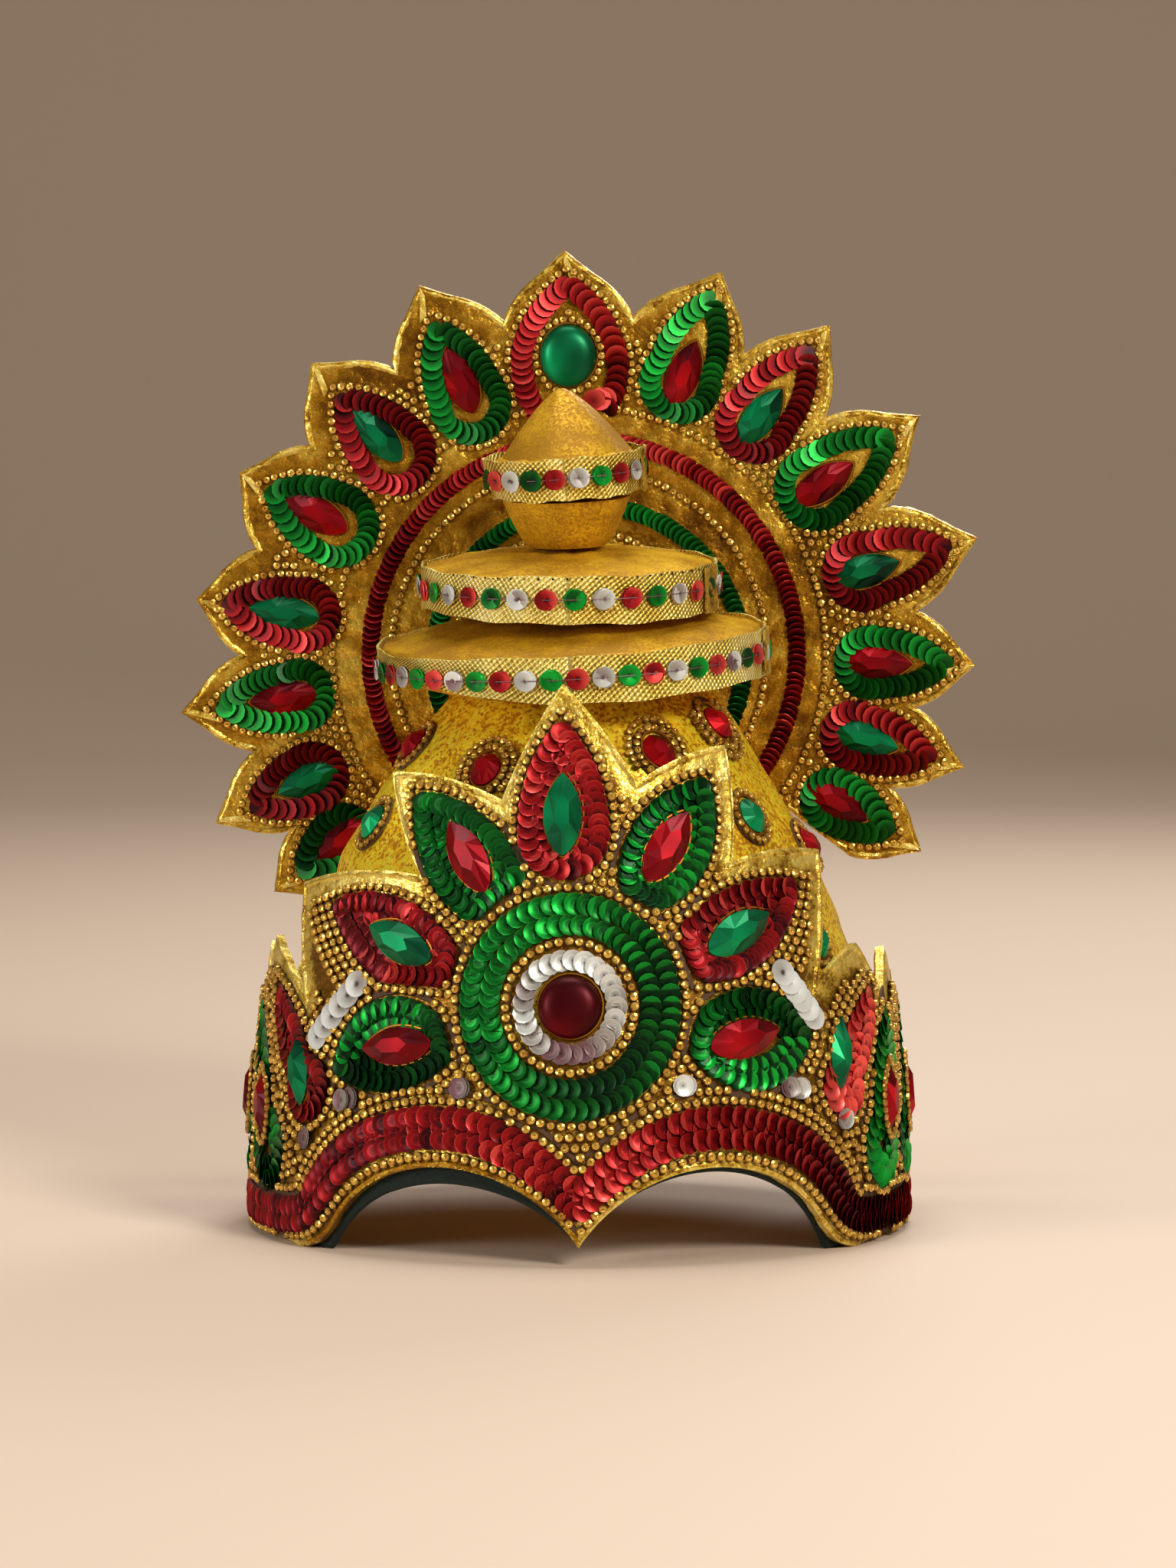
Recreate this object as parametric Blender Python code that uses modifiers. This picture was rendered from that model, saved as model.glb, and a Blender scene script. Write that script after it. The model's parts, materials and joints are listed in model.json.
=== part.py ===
"""A dance crown of gold cloth: a tall cap, a curved petalled shield sewn round its front and sides, two
padded discs and a finial stacked on top, and an upright halo of petals behind them, all set with cut stones.

Metres, +Z up. The crown faces -Y. The origin lies on the surface that it stands on, under the middle of the
crown's depth. Each piece is made about the cap's axis, and hangs on an empty there."""

import math
from collections import namedtuple

import bmesh
import bpy
from mathutils import Matrix, Vector

# Room left between two pieces that are sewn or glued together
SEAM_GAP = 0.0003

# Shield: the stiff petalled sheet round the front and sides
SHIELD_HEIGHT = 0.1645  # to the tip of the middle petal
SHIELD_RADIUS = 0.097  # outside, at the hem
SHIELD_WALL = 0.0025
SHIELD_PLUMB_HEIGHT = 0.020  # up to here the sheet stands plumb, above it leans in
FRONT_LEAN = 0.031  # how far the sheet has leaned in at the full height, in front
SIDE_LEAN = 0.0175  # the same beside the ears
LEAN_POWER = 1.4
FRONT_ANGLE = 30  # degrees to each side that lean as the front does
SIDE_ANGLE = 75  # from here on the sheet leans as the sides do
SHIELD_END_ANGLE = 120  # where the wings end, behind the ears
HEM_POINT_RISE = 0.0055  # the middle point of the hem hangs this far above the surface
ARCH_RISE = 0.0247  # height of each brow arch over its chord
ARCH_FOOT_ANGLE = 50  # where each arch comes down to the surface
ARCH_POINTS = 12
FOOT_ROUNDING = 0.012
PETAL_BULGE = 0.05  # of a petal side's length
SHIELD_COLUMN = 7.5  # degrees between the folds of the bent sheet
SHIELD_ROW = 0.014

# Lining: the padding that shows under the arches
LINING_WALL = 0.003
LINING_SHOWS = 0.0045  # below the top of each arch
LINING_ANGLE = 66

# Cap
CAP_HEIGHT = 0.161
CAP_RIM_HEIGHT = 0.036
CAP_CLEARANCE = 0.0005  # inside the folded shield, whose flats lie nearer than its folds
CAP_WALL = 0.0025
CAP_SEWN_HEIGHT = 0.064  # up to here the cap lies against the shield
CAP_STEPS = 40
CAP_BEND_START = 0.120  # above this the cap bends over to meet the large disc squarely

# Tower: the padded discs and the finial, which each lean a little
TOWER_X = -0.0015
TOWER_Y = 0.0025
TOWER_TILT = 3.5  # degrees forwards
LARGE_DISC_ROLL = 3.1  # degrees, the right side higher
LARGE_BAND_RADIUS = 0.0583
LARGE_EDGE = 0.0139
LARGE_DOME = 0.0068
MEDIUM_DISC_ROLL = 0.8
MEDIUM_BAND_RADIUS = 0.0445
MEDIUM_EDGE = 0.0140
MEDIUM_DOME = 0.0041
BULB_ROLL = 2.0
BULB_FOOT_RADIUS = 0.0115
BULB_TOP_RADIUS = 0.0192
BULB_HEIGHT = 0.0143
BULB_POWER = 0.8  # under 1 makes its side convex
FINIAL_ROLL = 4.6
FINIAL_BAND_RADIUS = 0.0248
FINIAL_EDGE = 0.0126
CONE_RADIUS = 0.0196
CONE_HEIGHT = 0.0198
CONE_POWER = 0.85
BAND_WALL = 0.0010  # the braid ribbons
PAD_ROUNDING = 0.0022  # the discs' edges under the ribbons
DOME_POWER = 3
DOME_SHARES = (0.0, 0.3, 0.55, 0.75, 0.9)  # of the radius, where a dome has its rings
TURNED_STEPS = 40

# Halo
HALO_CENTRE_HEIGHT = 0.166
HALO_WALL = 0.003
HALO_CUT_CLEARANCE = 0.0004  # round the cap
HALO_TIP_RADIUS = 0.123
HALO_VALLEY_SHARE = 0.8455  # of the tips' radius, where the valleys between the petals lie
HALO_STONE_SHARE = 0.74  # of the tips' radius, where the stones lie
HALO_HEM_RADIUS = 0.080  # the arc that closes it below
HALO_BULGE = 0.09

# Stones
STONE_SIDES = 12
TABLE_SHARE = 0.52  # the flat top of a stone, of its size
GIRDLE_SHARE = 0.25  # the upright edge, of its height
PETAL_STONE = {"length": 0.024, "width": 0.0110, "height": 0.0040}
WING_STONE = {"length": 0.021, "width": 0.0092, "height": 0.0036}
ROSETTE_STONE = {"length": 0.018, "width": 0.018, "height": 0.0042}
HALO_STONE = {"length": 0.0215, "width": 0.0098, "height": 0.0038}
HALO_TOP_STONE = {"length": 0.019, "width": 0.017, "height": 0.0040}
CAP_STONE = {"length": 0.0110, "width": 0.0092, "height": 0.0032}

# How pointed the two ends of a stone's outline are: 0.5 is round, 1 is sharp
POINTED, BLUNT, ROUND = 0.9, 0.6, 0.5

# The shield's upper edge from the right wing's end to the left one's. Angles are degrees from the front,
# heights are shares of SHIELD_HEIGHT, and petal tips and the valleys between them follow each other.
EdgePoint = namedtuple("EdgePoint", "angle height")
SHIELD_EDGE = (
    EdgePoint(120, 0.35), EdgePoint(112, 0.46), EdgePoint(104, 0.38), EdgePoint(98, 0.49),
    EdgePoint(90, 0.40), EdgePoint(81, 0.51), EdgePoint(73, 0.41), EdgePoint(64, 0.53),
    EdgePoint(50, 0.465), EdgePoint(56, 0.70), EdgePoint(33.5, 0.69), EdgePoint(36, 0.89),
    EdgePoint(13, 0.83), EdgePoint(-3.9, 1.0), EdgePoint(-17, 0.80), EdgePoint(-45, 0.84),
    EdgePoint(-34, 0.665), EdgePoint(-66, 0.635), EdgePoint(-60, 0.43), EdgePoint(-79, 0.53),
    EdgePoint(-84, 0.41), EdgePoint(-90, 0.51), EdgePoint(-96, 0.39), EdgePoint(-103, 0.48),
    EdgePoint(-109, 0.37), EdgePoint(-114, 0.45), EdgePoint(-120, 0.35),
)

# Stones on the shield. Angle and height as above, turn is degrees clockwise from upright.
# The halo's petals from the lowest on the left round to the lowest on the right: turns are degrees clockwise
# from upright, and reaches are shares of HALO_TIP_RADIUS.
HaloPetal = namedtuple("HaloPetal", "turn reach")
HALO_PETALS = (
    HaloPetal(-128, 0.965), HaloPetal(-115, 1.0), HaloPetal(-98.5, 1.0), HaloPetal(-82, 0.96),
    HaloPetal(-62, 0.955), HaloPetal(-42.7, 0.98), HaloPetal(-23.5, 0.995), HaloPetal(-2.1, 1.0),
    HaloPetal(20.4, 1.01), HaloPetal(37.3, 1.025), HaloPetal(55, 1.03), HaloPetal(73.8, 1.03),
    HaloPetal(91.7, 0.985), HaloPetal(106.5, 1.0), HaloPetal(120, 0.985),
)
HALO_MIDDLE = len(HALO_PETALS) // 2

ShieldStone = namedtuple("ShieldStone", "name angle height turn size colour")
SHIELD_STONES = (
    ShieldStone("rosette", -1.6, 0.447, 0, ROSETTE_STONE, "maroon"),
    ShieldStone("middle", -3.4, 0.775, 0, PETAL_STONE, "green"),
    ShieldStone("left_upper", -23.2, 0.700, -34, PETAL_STONE, "red"),
    ShieldStone("right_upper", 18.6, 0.719, 36, PETAL_STONE, "red"),
    ShieldStone("left_mid", -36.3, 0.547, -68, PETAL_STONE, "green"),
    ShieldStone("right_mid", 32.3, 0.567, 65, PETAL_STONE, "green"),
    ShieldStone("left_lower", -34.3, 0.370, -97, PETAL_STONE, "red"),
    ShieldStone("right_lower", 31.1, 0.385, 80, PETAL_STONE, "red"),
    ShieldStone("left_wing_1", -58.4, 0.310, -14, WING_STONE, "green"),
    ShieldStone("left_wing_2", -72.0, 0.235, -12, WING_STONE, "red"),
    ShieldStone("left_wing_3", -89.0, 0.235, -12, WING_STONE, "red"),
    ShieldStone("left_wing_4", -106.0, 0.225, -10, WING_STONE, "green"),
    ShieldStone("right_wing_1", 53.5, 0.345, 11, WING_STONE, "green"),
    ShieldStone("right_wing_2", 69.5, 0.250, 9, WING_STONE, "red"),
    ShieldStone("right_wing_3", 87.0, 0.240, 9, WING_STONE, "red"),
    ShieldStone("right_wing_4", 104.5, 0.230, 8, WING_STONE, "green"),
)

# Stones on the cap beside the shield, heights as shares of CAP_HEIGHT
CapStone = namedtuple("CapStone", "name angle height turn colour")
CAP_STONES = (
    CapStone("left_front", -30, 0.863, 170, "red"),
    CapStone("right_front", 27, 0.893, 165, "red"),
    CapStone("left_back", -74, 0.897, 40, "red"),
    CapStone("right_back", 60, 0.930, -25, "red"),
    CapStone("left_mid", -67, 0.752, 15, "green"),
    CapStone("right_mid", 52, 0.770, 0, "green"),
    CapStone("left_low", -69, 0.532, 0, "green"),
    CapStone("right_low", 61, 0.545, 0, "green"),
    CapStone("right_side", 76, 0.705, 0, "red"),
)

# The cap above the seam with the shield: heights as shares of CAP_HEIGHT, radii as shares of SHIELD_RADIUS
CapSection = namedtuple("CapSection", "height radius")
CAP_SECTIONS = (
    CapSection(1.0, 0.392), CapSection(0.925, 0.485), CapSection(0.807, 0.619),
    CapSection(0.683, 0.737), CapSection(0.547, 0.814),
)


# Materials

def material(name, colour, metallic, roughness, coat=0.0):
    made = bpy.data.materials.new(name)
    made.use_nodes = True
    shader = made.node_tree.nodes["Principled BSDF"]
    shader.inputs["Base Color"].default_value = (*colour, 1.0)
    shader.inputs["Metallic"].default_value = metallic
    shader.inputs["Roughness"].default_value = roughness
    shader.inputs["Coat Weight"].default_value = coat
    return made


def make_materials():
    return {
        "mesh": material("gold_mesh_cloth", (0.72, 0.48, 0.05), 0.7, 0.45),
        "tissue": material("gold_tissue_cloth", (0.55, 0.33, 0.05), 0.7, 0.4),
        "satin": material("gold_satin_cloth", (0.52, 0.30, 0.03), 0.6, 0.4),
        "braid": material("gold_braid", (0.78, 0.62, 0.16), 0.7, 0.35),
        "lame": material("gold_lame", (0.50, 0.31, 0.04), 0.7, 0.5),
        "lining": material("green_lining", (0.01, 0.06, 0.03), 0.0, 0.9),
        "red": material("red_stone", (0.55, 0.005, 0.01), 0.5, 0.1, 1.0),
        "green": material("green_stone", (0.0, 0.20, 0.07), 0.5, 0.1, 1.0),
        "maroon": material("maroon_stone", (0.13, 0.0, 0.005), 0.5, 0.1, 1.0),
    }


# Objects and meshes

def new_object(name, mesh, folder, finish=None):
    made = bpy.data.objects.new(name, mesh)
    folder.objects.link(made)
    if finish:
        mesh.materials.clear()
        mesh.materials.append(finish)
    return made


def hide_as_cutter(cutter):
    cutter.hide_render = True
    cutter.display_type = "WIRE"
    return cutter


def shade(mesh, sharp_angle=35):
    mesh.shade_smooth()
    mesh.set_sharp_from_angle(angle=math.radians(sharp_angle))


def mesh_of(made):
    """The object's evaluated mesh. The object itself is removed."""
    bpy.context.view_layer.update()
    graph = bpy.context.evaluated_depsgraph_get()
    mesh = bpy.data.meshes.new_from_object(made.evaluated_get(graph))
    bpy.data.objects.remove(made)
    return mesh


def flat_sheet(outline, wall, folder):
    """A closed outline of (across, up) points, given a wall. The mesh has one face on each side."""
    curve = bpy.data.curves.new("outline", "CURVE")
    curve.dimensions = "2D"
    curve.fill_mode = "BOTH"
    curve.extrude = wall / 2
    spline = curve.splines.new("POLY")
    spline.points.add(len(outline) - 1)
    for point, (across, up) in zip(spline.points, outline):
        point.co = (across, up, 0, 1)
    spline.use_cyclic_u = True
    mesh = mesh_of(new_object("outline", curve, folder))
    sheet = bmesh.new()
    sheet.from_mesh(mesh)
    bmesh.ops.remove_doubles(sheet, verts=sheet.verts, dist=1e-6)
    bmesh.ops.dissolve_limit(sheet, angle_limit=1e-3, verts=sheet.verts, edges=sheet.edges)
    bmesh.ops.recalc_face_normals(sheet, faces=sheet.faces)
    sheet.to_mesh(mesh)
    sheet.free()
    return mesh


def turned(name, profile, steps, folder):
    """A solid turned about Z from (radius, height) points that run down its outer side."""
    mesh = bpy.data.meshes.new(name)
    points = [(radius, 0, height) for radius, height in profile]
    mesh.from_pydata(points, [(i, i + 1) for i in range(len(points) - 1)], [])
    made = new_object(name, mesh, folder)
    screw = made.modifiers.new("turn", "SCREW")
    screw.axis = "Z"
    screw.steps = screw.render_steps = steps
    screw.use_merge_vertices = True
    screw.merge_threshold = 1e-5
    return made


def arc_between(start, end, bulge, count):
    """Points on the arc from start to end, both left out. It bulges to the right by a share of its chord."""
    if bulge == 0:
        return []
    chord = Vector(end) - Vector(start)
    side = Vector((chord.y, -chord.x)).normalized()
    rise = bulge * chord.length
    radius = (chord.length ** 2 / 4 + rise ** 2) / (2 * rise)
    centre = (Vector(start) + Vector(end)) / 2 - side * (radius - rise)
    half = math.asin(min(1.0, chord.length / 2 / abs(radius)))
    along = chord.normalized()
    angles = [half * (2 * i / (count + 1) - 1) for i in range(1, count + 1)]
    return [tuple(centre + side * radius * math.cos(a) + along * abs(radius) * math.sin(a)) for a in angles]


# The bent sheets

def shield_radius(angle, height):
    """Outer radius of the shield, at an angle in degrees from the front."""
    up = max(0.0, (height - SHIELD_PLUMB_HEIGHT) / (SHIELD_HEIGHT - SHIELD_PLUMB_HEIGHT))
    aside = min(1.0, max(0.0, (abs(angle) - FRONT_ANGLE) / (SIDE_ANGLE - FRONT_ANGLE)))
    aside = aside * aside * (3 - 2 * aside)
    lean = FRONT_LEAN + (SIDE_LEAN - FRONT_LEAN) * aside
    return SHIELD_RADIUS - lean * up ** LEAN_POWER


def on_cylinder(angle, radius, height):
    turn = math.radians(angle)
    return Vector((radius * math.sin(turn), -radius * math.cos(turn), height))


def on_shield(angle, height, outwards=0.0):
    return on_cylinder(angle, shield_radius(angle, height) + outwards, height)


def across(angle):
    """Where an angle lies on the unrolled sheet."""
    return math.radians(angle) * SHIELD_RADIUS


def bent_sheet(name, outline, wall, inset, folder, finish):
    """An unrolled outline given a wall, folded along upright and level lines, and bent round the cap. inset
    is how far its outer face lies inside the shield's."""
    mesh = flat_sheet(outline, wall, folder)
    sheet = bmesh.new()
    sheet.from_mesh(mesh)
    bmesh.ops.connect_verts_concave(sheet, faces=sheet.faces)
    widest = max(abs(x) for x, _ in outline)
    column = across(SHIELD_COLUMN)
    columns = [i * column for i in range(-int(widest / column), int(widest / column) + 1)]
    rows = [i * SHIELD_ROW for i in range(1, int(SHIELD_HEIGHT / SHIELD_ROW) + 1)]
    folds = [(Vector((x, 0, 0)), Vector((1, 0, 0))) for x in columns]
    folds += [(Vector((0, y, 0)), Vector((0, 1, 0))) for y in rows]
    for place, normal in folds:
        everything = sheet.verts[:] + sheet.edges[:] + sheet.faces[:]
        bmesh.ops.bisect_plane(sheet, geom=everything, dist=1e-6, plane_co=place, plane_no=normal)
    bmesh.ops.triangulate(sheet, faces=sheet.faces)
    for corner in sheet.verts:
        x, height, through = corner.co
        angle = math.degrees(x / SHIELD_RADIUS)
        corner.co = on_shield(angle, height, through - wall / 2 - inset)
    sheet.to_mesh(mesh)
    sheet.free()
    shade(mesh)
    return new_object(name, mesh, folder, finish)


def arch(point_rise, rise, foot_angle, count):
    """A brow arch on the unrolled sheet, from its foot on the right to the middle point of the hem."""
    foot, middle = (across(foot_angle), 0.0), (0.0, point_rise)
    bulge = rise / math.dist(foot, middle)
    return [foot, *arc_between(foot, middle, bulge, count), middle]


def mirrored(points):
    return [(-x, y) for x, y in reversed(points)]


def rounded_foot(arch_points):
    """The arch with a rounded corner where it meets the surface."""
    foot = arch_points[0]
    kept = [p for p in arch_points if math.dist(p, foot) > FOOT_ROUNDING]
    start, end = (foot[0] + FOOT_ROUNDING, 0.0), kept[0]
    rounding = []
    for share in (0.25, 0.5, 0.75):
        first = Vector(start).lerp(Vector(foot), share)
        second = Vector(foot).lerp(Vector(end), share)
        rounding.append(tuple(first.lerp(second, share)))
    return [start, *rounding, *kept]


def shield_outline():
    """The unrolled shield, anticlockwise as seen from the front."""
    right_arch = rounded_foot(arch(HEM_POINT_RISE, ARCH_RISE, ARCH_FOOT_ANGLE, ARCH_POINTS))
    right_hem = right_arch[::-1]
    outline = right_hem + [(across(SHIELD_END_ANGLE), 0.0)]
    edge = [(across(p.angle), p.height * SHIELD_HEIGHT) for p in SHIELD_EDGE]
    for start, end in zip(edge, edge[1:]):
        outline += [start, *arc_between(start, end, PETAL_BULGE, 2)]
    outline += [edge[-1], (-across(SHIELD_END_ANGLE), 0.0)]
    return outline + mirrored(right_hem[1:])


def lining_outline():
    """The unrolled lining. It hangs below the top of each arch, and ends under the cap's rim."""
    right_hem = arch(HEM_POINT_RISE, ARCH_RISE - LINING_SHOWS, ARCH_FOOT_ANGLE, ARCH_POINTS)[::-1]
    side, top = across(LINING_ANGLE), CAP_RIM_HEIGHT - SEAM_GAP
    return [*right_hem, (side, 0.0), (side, top), (-side, top), (-side, 0.0), *mirrored(right_hem[1:])]


def make_shield(folder, finishes):
    bent_sheet("front_shield", shield_outline(), SHIELD_WALL, 0.0, folder, finishes["tissue"])
    inset = SHIELD_WALL + SEAM_GAP
    bent_sheet("front_lining", lining_outline(), LINING_WALL, inset, folder, finishes["lining"])


# Cap

def cap_radius(height):
    """Outer radius of the cap, before it bends over to meet the large disc."""
    if height <= CAP_SEWN_HEIGHT:
        return shield_radius(0, height) - SHIELD_WALL - CAP_CLEARANCE
    rows = [(s.height * CAP_HEIGHT, s.radius * SHIELD_RADIUS) for s in CAP_SECTIONS]
    rows.append((CAP_SEWN_HEIGHT, cap_radius(CAP_SEWN_HEIGHT)))
    for (top, narrow), (bottom, wide) in zip(rows, rows[1:]):
        if height >= bottom:
            return wide + (narrow - wide) * (height - bottom) / (top - bottom)


def cap_heights():
    middle = (CAP_SEWN_HEIGHT + CAP_RIM_HEIGHT) / 2
    return [s.height * CAP_HEIGHT for s in CAP_SECTIONS] + [CAP_SEWN_HEIGHT, middle, CAP_RIM_HEIGHT]


def tower_turn(roll):
    """A disc's lean: forwards as all of them do, and to one side as its own roll says."""
    return Matrix.Rotation(-math.radians(roll), 4, "Y") @ Matrix.Rotation(math.radians(TOWER_TILT), 4, "X")


def bent_to_tower(point):
    """A point of the straight cap, where the bend that carries the large disc puts it."""
    share = max(0.0, (point.z - CAP_BEND_START) / (CAP_HEIGHT - CAP_BEND_START))
    normal = tower_turn(LARGE_DISC_ROLL).to_3x3() @ Vector((0, 0, 1))
    rise = -(normal.x * (point.x - TOWER_X) + normal.y * (point.y - TOWER_Y)) / normal.z
    return point + Vector((0, 0, rise * share * share))


def bend_over(made, name, folder, finish=None):
    mesh = mesh_of(made)
    for corner in mesh.vertices:
        corner.co = bent_to_tower(corner.co)
    shade(mesh)
    return new_object(name, mesh, folder, finish)


def make_cap(folder, finishes):
    outer = [(0.0, CAP_HEIGHT)] + [(cap_radius(h), h) for h in cap_heights()]
    ceiling = CAP_HEIGHT - CAP_WALL
    inner = [(max(0.0, r - CAP_WALL), min(h, ceiling)) for r, h in reversed(outer)]
    cap = turned("cap", outer + inner, CAP_STEPS, folder)
    bend_over(cap, "crown_cap", folder, finishes["mesh"])


def cap_cutter(cutters):
    """The cap as a solid a little larger than it is, to cut the halo's notch."""
    sections = [(cap_radius(h) + HALO_CUT_CLEARANCE, h) for h in cap_heights()]
    profile = [(0.0, CAP_HEIGHT), *sections, (0.0, CAP_RIM_HEIGHT)]
    cutter = bend_over(turned("cutter", profile, CAP_STEPS, cutters), "cap_cutter", cutters)
    return hide_as_cutter(cutter)


# Tower

def disc_profile(radius, edge, dome):
    """A padded disc with rounded edges, whose top rises to a dome."""
    flat, round_top = radius - PAD_ROUNDING, edge - PAD_ROUNDING
    top = [(flat * s, edge + dome * (1 - s ** DOME_POWER)) for s in DOME_SHARES]
    return [*top, (flat, edge), (radius, round_top), (radius, PAD_ROUNDING), (flat, 0.0), (0.0, 0.0)]


def dome_lift(radius, dome, foot_radius, roll_change):
    """How far a flat foot has to be lifted off a dome's top, where the two roll differently."""
    slope = math.sin(math.radians(abs(roll_change)))
    reach = min(foot_radius, radius)
    samples = [reach * i / 40 for i in range(41)]
    return max(r * slope - dome * (r / radius) ** DOME_POWER for r in samples)


def next_foot(foot, roll, height, lift=0.0):
    """Where the next piece stands, above a piece of this height."""
    return foot + tower_turn(roll).to_3x3() @ Vector((0, 0, height + SEAM_GAP + lift))


def make_turned(name, profile, foot, roll, folder, finish):
    mesh = mesh_of(turned(name, profile, TURNED_STEPS, folder))
    shade(mesh)
    new_object(name, mesh, folder, finish).matrix_world = Matrix.Translation(foot) @ tower_turn(roll)


def make_banded_disc(name, band_radius, edge, dome, foot, roll, folder, finishes):
    """A padded disc and the ribbon round its edge."""
    inner = band_radius - BAND_WALL
    profile = disc_profile(inner - SEAM_GAP, edge, dome)
    make_turned(name + "_disc", profile, foot, roll, folder, finishes["lame"])
    ribbon = [(band_radius, edge), (band_radius, 0.0), (inner, 0.0), (inner, edge), (band_radius, edge)]
    make_turned(name + "_band", ribbon, foot, roll, folder, finishes["braid"])


def bulb_profile():
    """A bowl that widens upwards, a little convex."""
    widening = BULB_TOP_RADIUS - BULB_FOOT_RADIUS
    shares = (1.0, 0.75, 0.5, 0.25, 0.0)
    side = [(BULB_FOOT_RADIUS + widening * s ** BULB_POWER, BULB_HEIGHT * s) for s in shares]
    return [(0.0, BULB_HEIGHT), *side, (0.0, 0.0)]


def cone_profile():
    """A cone with a blunt tip and slightly convex sides."""
    shares = (0.0, 0.04, 0.15, 0.4, 0.7, 1.0)
    return [(CONE_RADIUS * s ** CONE_POWER, CONE_HEIGHT * (1 - s)) for s in shares] + [(0.0, 0.0)]


def make_tower(folder, finishes):
    foot, roll = Vector((TOWER_X, TOWER_Y, CAP_HEIGHT + SEAM_GAP)), LARGE_DISC_ROLL
    make_banded_disc("large", LARGE_BAND_RADIUS, LARGE_EDGE, LARGE_DOME, foot, roll, folder, finishes)
    lift = dome_lift(LARGE_BAND_RADIUS, LARGE_DOME, MEDIUM_BAND_RADIUS, LARGE_DISC_ROLL - MEDIUM_DISC_ROLL)
    foot, roll = next_foot(foot, roll, LARGE_EDGE + LARGE_DOME, lift), MEDIUM_DISC_ROLL
    make_banded_disc("medium", MEDIUM_BAND_RADIUS, MEDIUM_EDGE, MEDIUM_DOME, foot, roll, folder, finishes)
    lift = dome_lift(MEDIUM_BAND_RADIUS, MEDIUM_DOME, BULB_FOOT_RADIUS, MEDIUM_DISC_ROLL - BULB_ROLL)
    foot, roll = next_foot(foot, roll, MEDIUM_EDGE + MEDIUM_DOME, lift), BULB_ROLL
    make_turned("finial_bulb", bulb_profile(), foot, roll, folder, finishes["lame"])
    lift = dome_lift(BULB_TOP_RADIUS, 0.0, BULB_TOP_RADIUS, BULB_ROLL - FINIAL_ROLL)
    foot, roll = next_foot(foot, roll, BULB_HEIGHT, lift), FINIAL_ROLL
    make_banded_disc("finial", FINIAL_BAND_RADIUS, FINIAL_EDGE, 0.0, foot, roll, folder, finishes)
    foot = next_foot(foot, roll, FINIAL_EDGE)
    make_turned("finial_cone", cone_profile(), foot, roll, folder, finishes["lame"])


# Halo

def halo_front():
    """The halo stands just behind the large disc's ribbon, which it is sewn to."""
    return TOWER_Y + LARGE_BAND_RADIUS + SEAM_GAP


def on_halo(turn, radius):
    """A point of the flat halo about its centre, turn degrees clockwise from upright."""
    return radius * math.sin(math.radians(turn)), radius * math.cos(math.radians(turn))


def halo_outline():
    """The flat halo, anticlockwise as seen from the front."""
    petals = HALO_PETALS[::-1]
    between = [(a.turn + b.turn) / 2 for a, b in zip(petals, petals[1:])]
    first, last = petals[0].turn, petals[-1].turn
    valleys = [2 * first - between[0], *between, 2 * last - between[-1]]
    low = HALO_VALLEY_SHARE * HALO_TIP_RADIUS
    edge = [on_halo(valleys[0], low)]
    for petal, valley in zip(petals, valleys[1:]):
        edge += [on_halo(petal.turn, petal.reach * HALO_TIP_RADIUS), on_halo(valley, low)]
    outline = []
    for start, end in zip(edge, edge[1:]):
        outline += [start, *arc_between(start, end, HALO_BULGE, 2)]
    outline.append(edge[-1])
    first, final, count = valleys[-1], valleys[0] - 360, 12
    closing = [first + (final - first) * i / count for i in range(count + 1)]
    return outline + [on_halo(turn, HALO_HEM_RADIUS) for turn in closing]


def make_halo(folder, cutters, finishes):
    mesh = flat_sheet(halo_outline(), HALO_WALL, folder)
    halo = new_object("halo", mesh, folder, finishes["satin"])
    halo.rotation_euler = (math.radians(90), 0, 0)
    halo.location = (0, halo_front() + HALO_WALL / 2, HALO_CENTRE_HEIGHT)
    notch = halo.modifiers.new("notch", "BOOLEAN")
    notch.operation = "DIFFERENCE"
    notch.object = cap_cutter(cutters)


# Stones

def cut_stone(name, size, points, folder, finish):
    """A flat-backed stone with a table, facets round it and an upright girdle. Its outline tapers to +Y."""
    length, width, height = size["length"], size["width"], size["height"]
    tip, tail = points
    girdle = height * GIRDLE_SHARE
    stone = bmesh.new()
    bmesh.ops.create_cone(
        stone, cap_ends=True, segments=STONE_SIDES, radius1=1.0, radius2=TABLE_SHARE, depth=height - girdle
    )
    base = min(stone.faces, key=lambda face: face.calc_center_median().z)
    grown = bmesh.ops.extrude_face_region(stone, geom=[base])["geom"]
    for corner in [item for item in grown if isinstance(item, bmesh.types.BMVert)]:
        corner.co.z -= girdle
    bmesh.ops.delete(stone, geom=[base], context="FACES_ONLY")
    lowest = min(corner.co.z for corner in stone.verts)
    for corner in stone.verts:
        reach, turn = math.hypot(corner.co.x, corner.co.y), math.atan2(corner.co.x, corner.co.y)
        taper = tip if math.cos(turn) > 0 else tail
        side = math.copysign(abs(math.sin(turn)) ** (2 * taper), math.sin(turn))
        corner.co = (reach * width / 2 * side, reach * length / 2 * math.cos(turn), corner.co.z - lowest)
    bmesh.ops.recalc_face_normals(stone, faces=stone.faces)
    mesh = bpy.data.meshes.new(name)
    stone.to_mesh(mesh)
    stone.free()
    return new_object(name, mesh, folder, finish)


def seat(stone, point, right, up, turn):
    """Lays a stone on a surface, its tip turned clockwise from upright."""
    outwards = right.cross(up).normalized()
    angle = math.radians(turn)
    tip = (up.normalized() * math.cos(angle) + right.normalized() * math.sin(angle)).normalized()
    axes = Matrix((tip.cross(outwards), tip, outwards)).transposed().to_4x4()
    stone.matrix_world = Matrix.Translation(point + outwards * SEAM_GAP) @ axes


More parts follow.
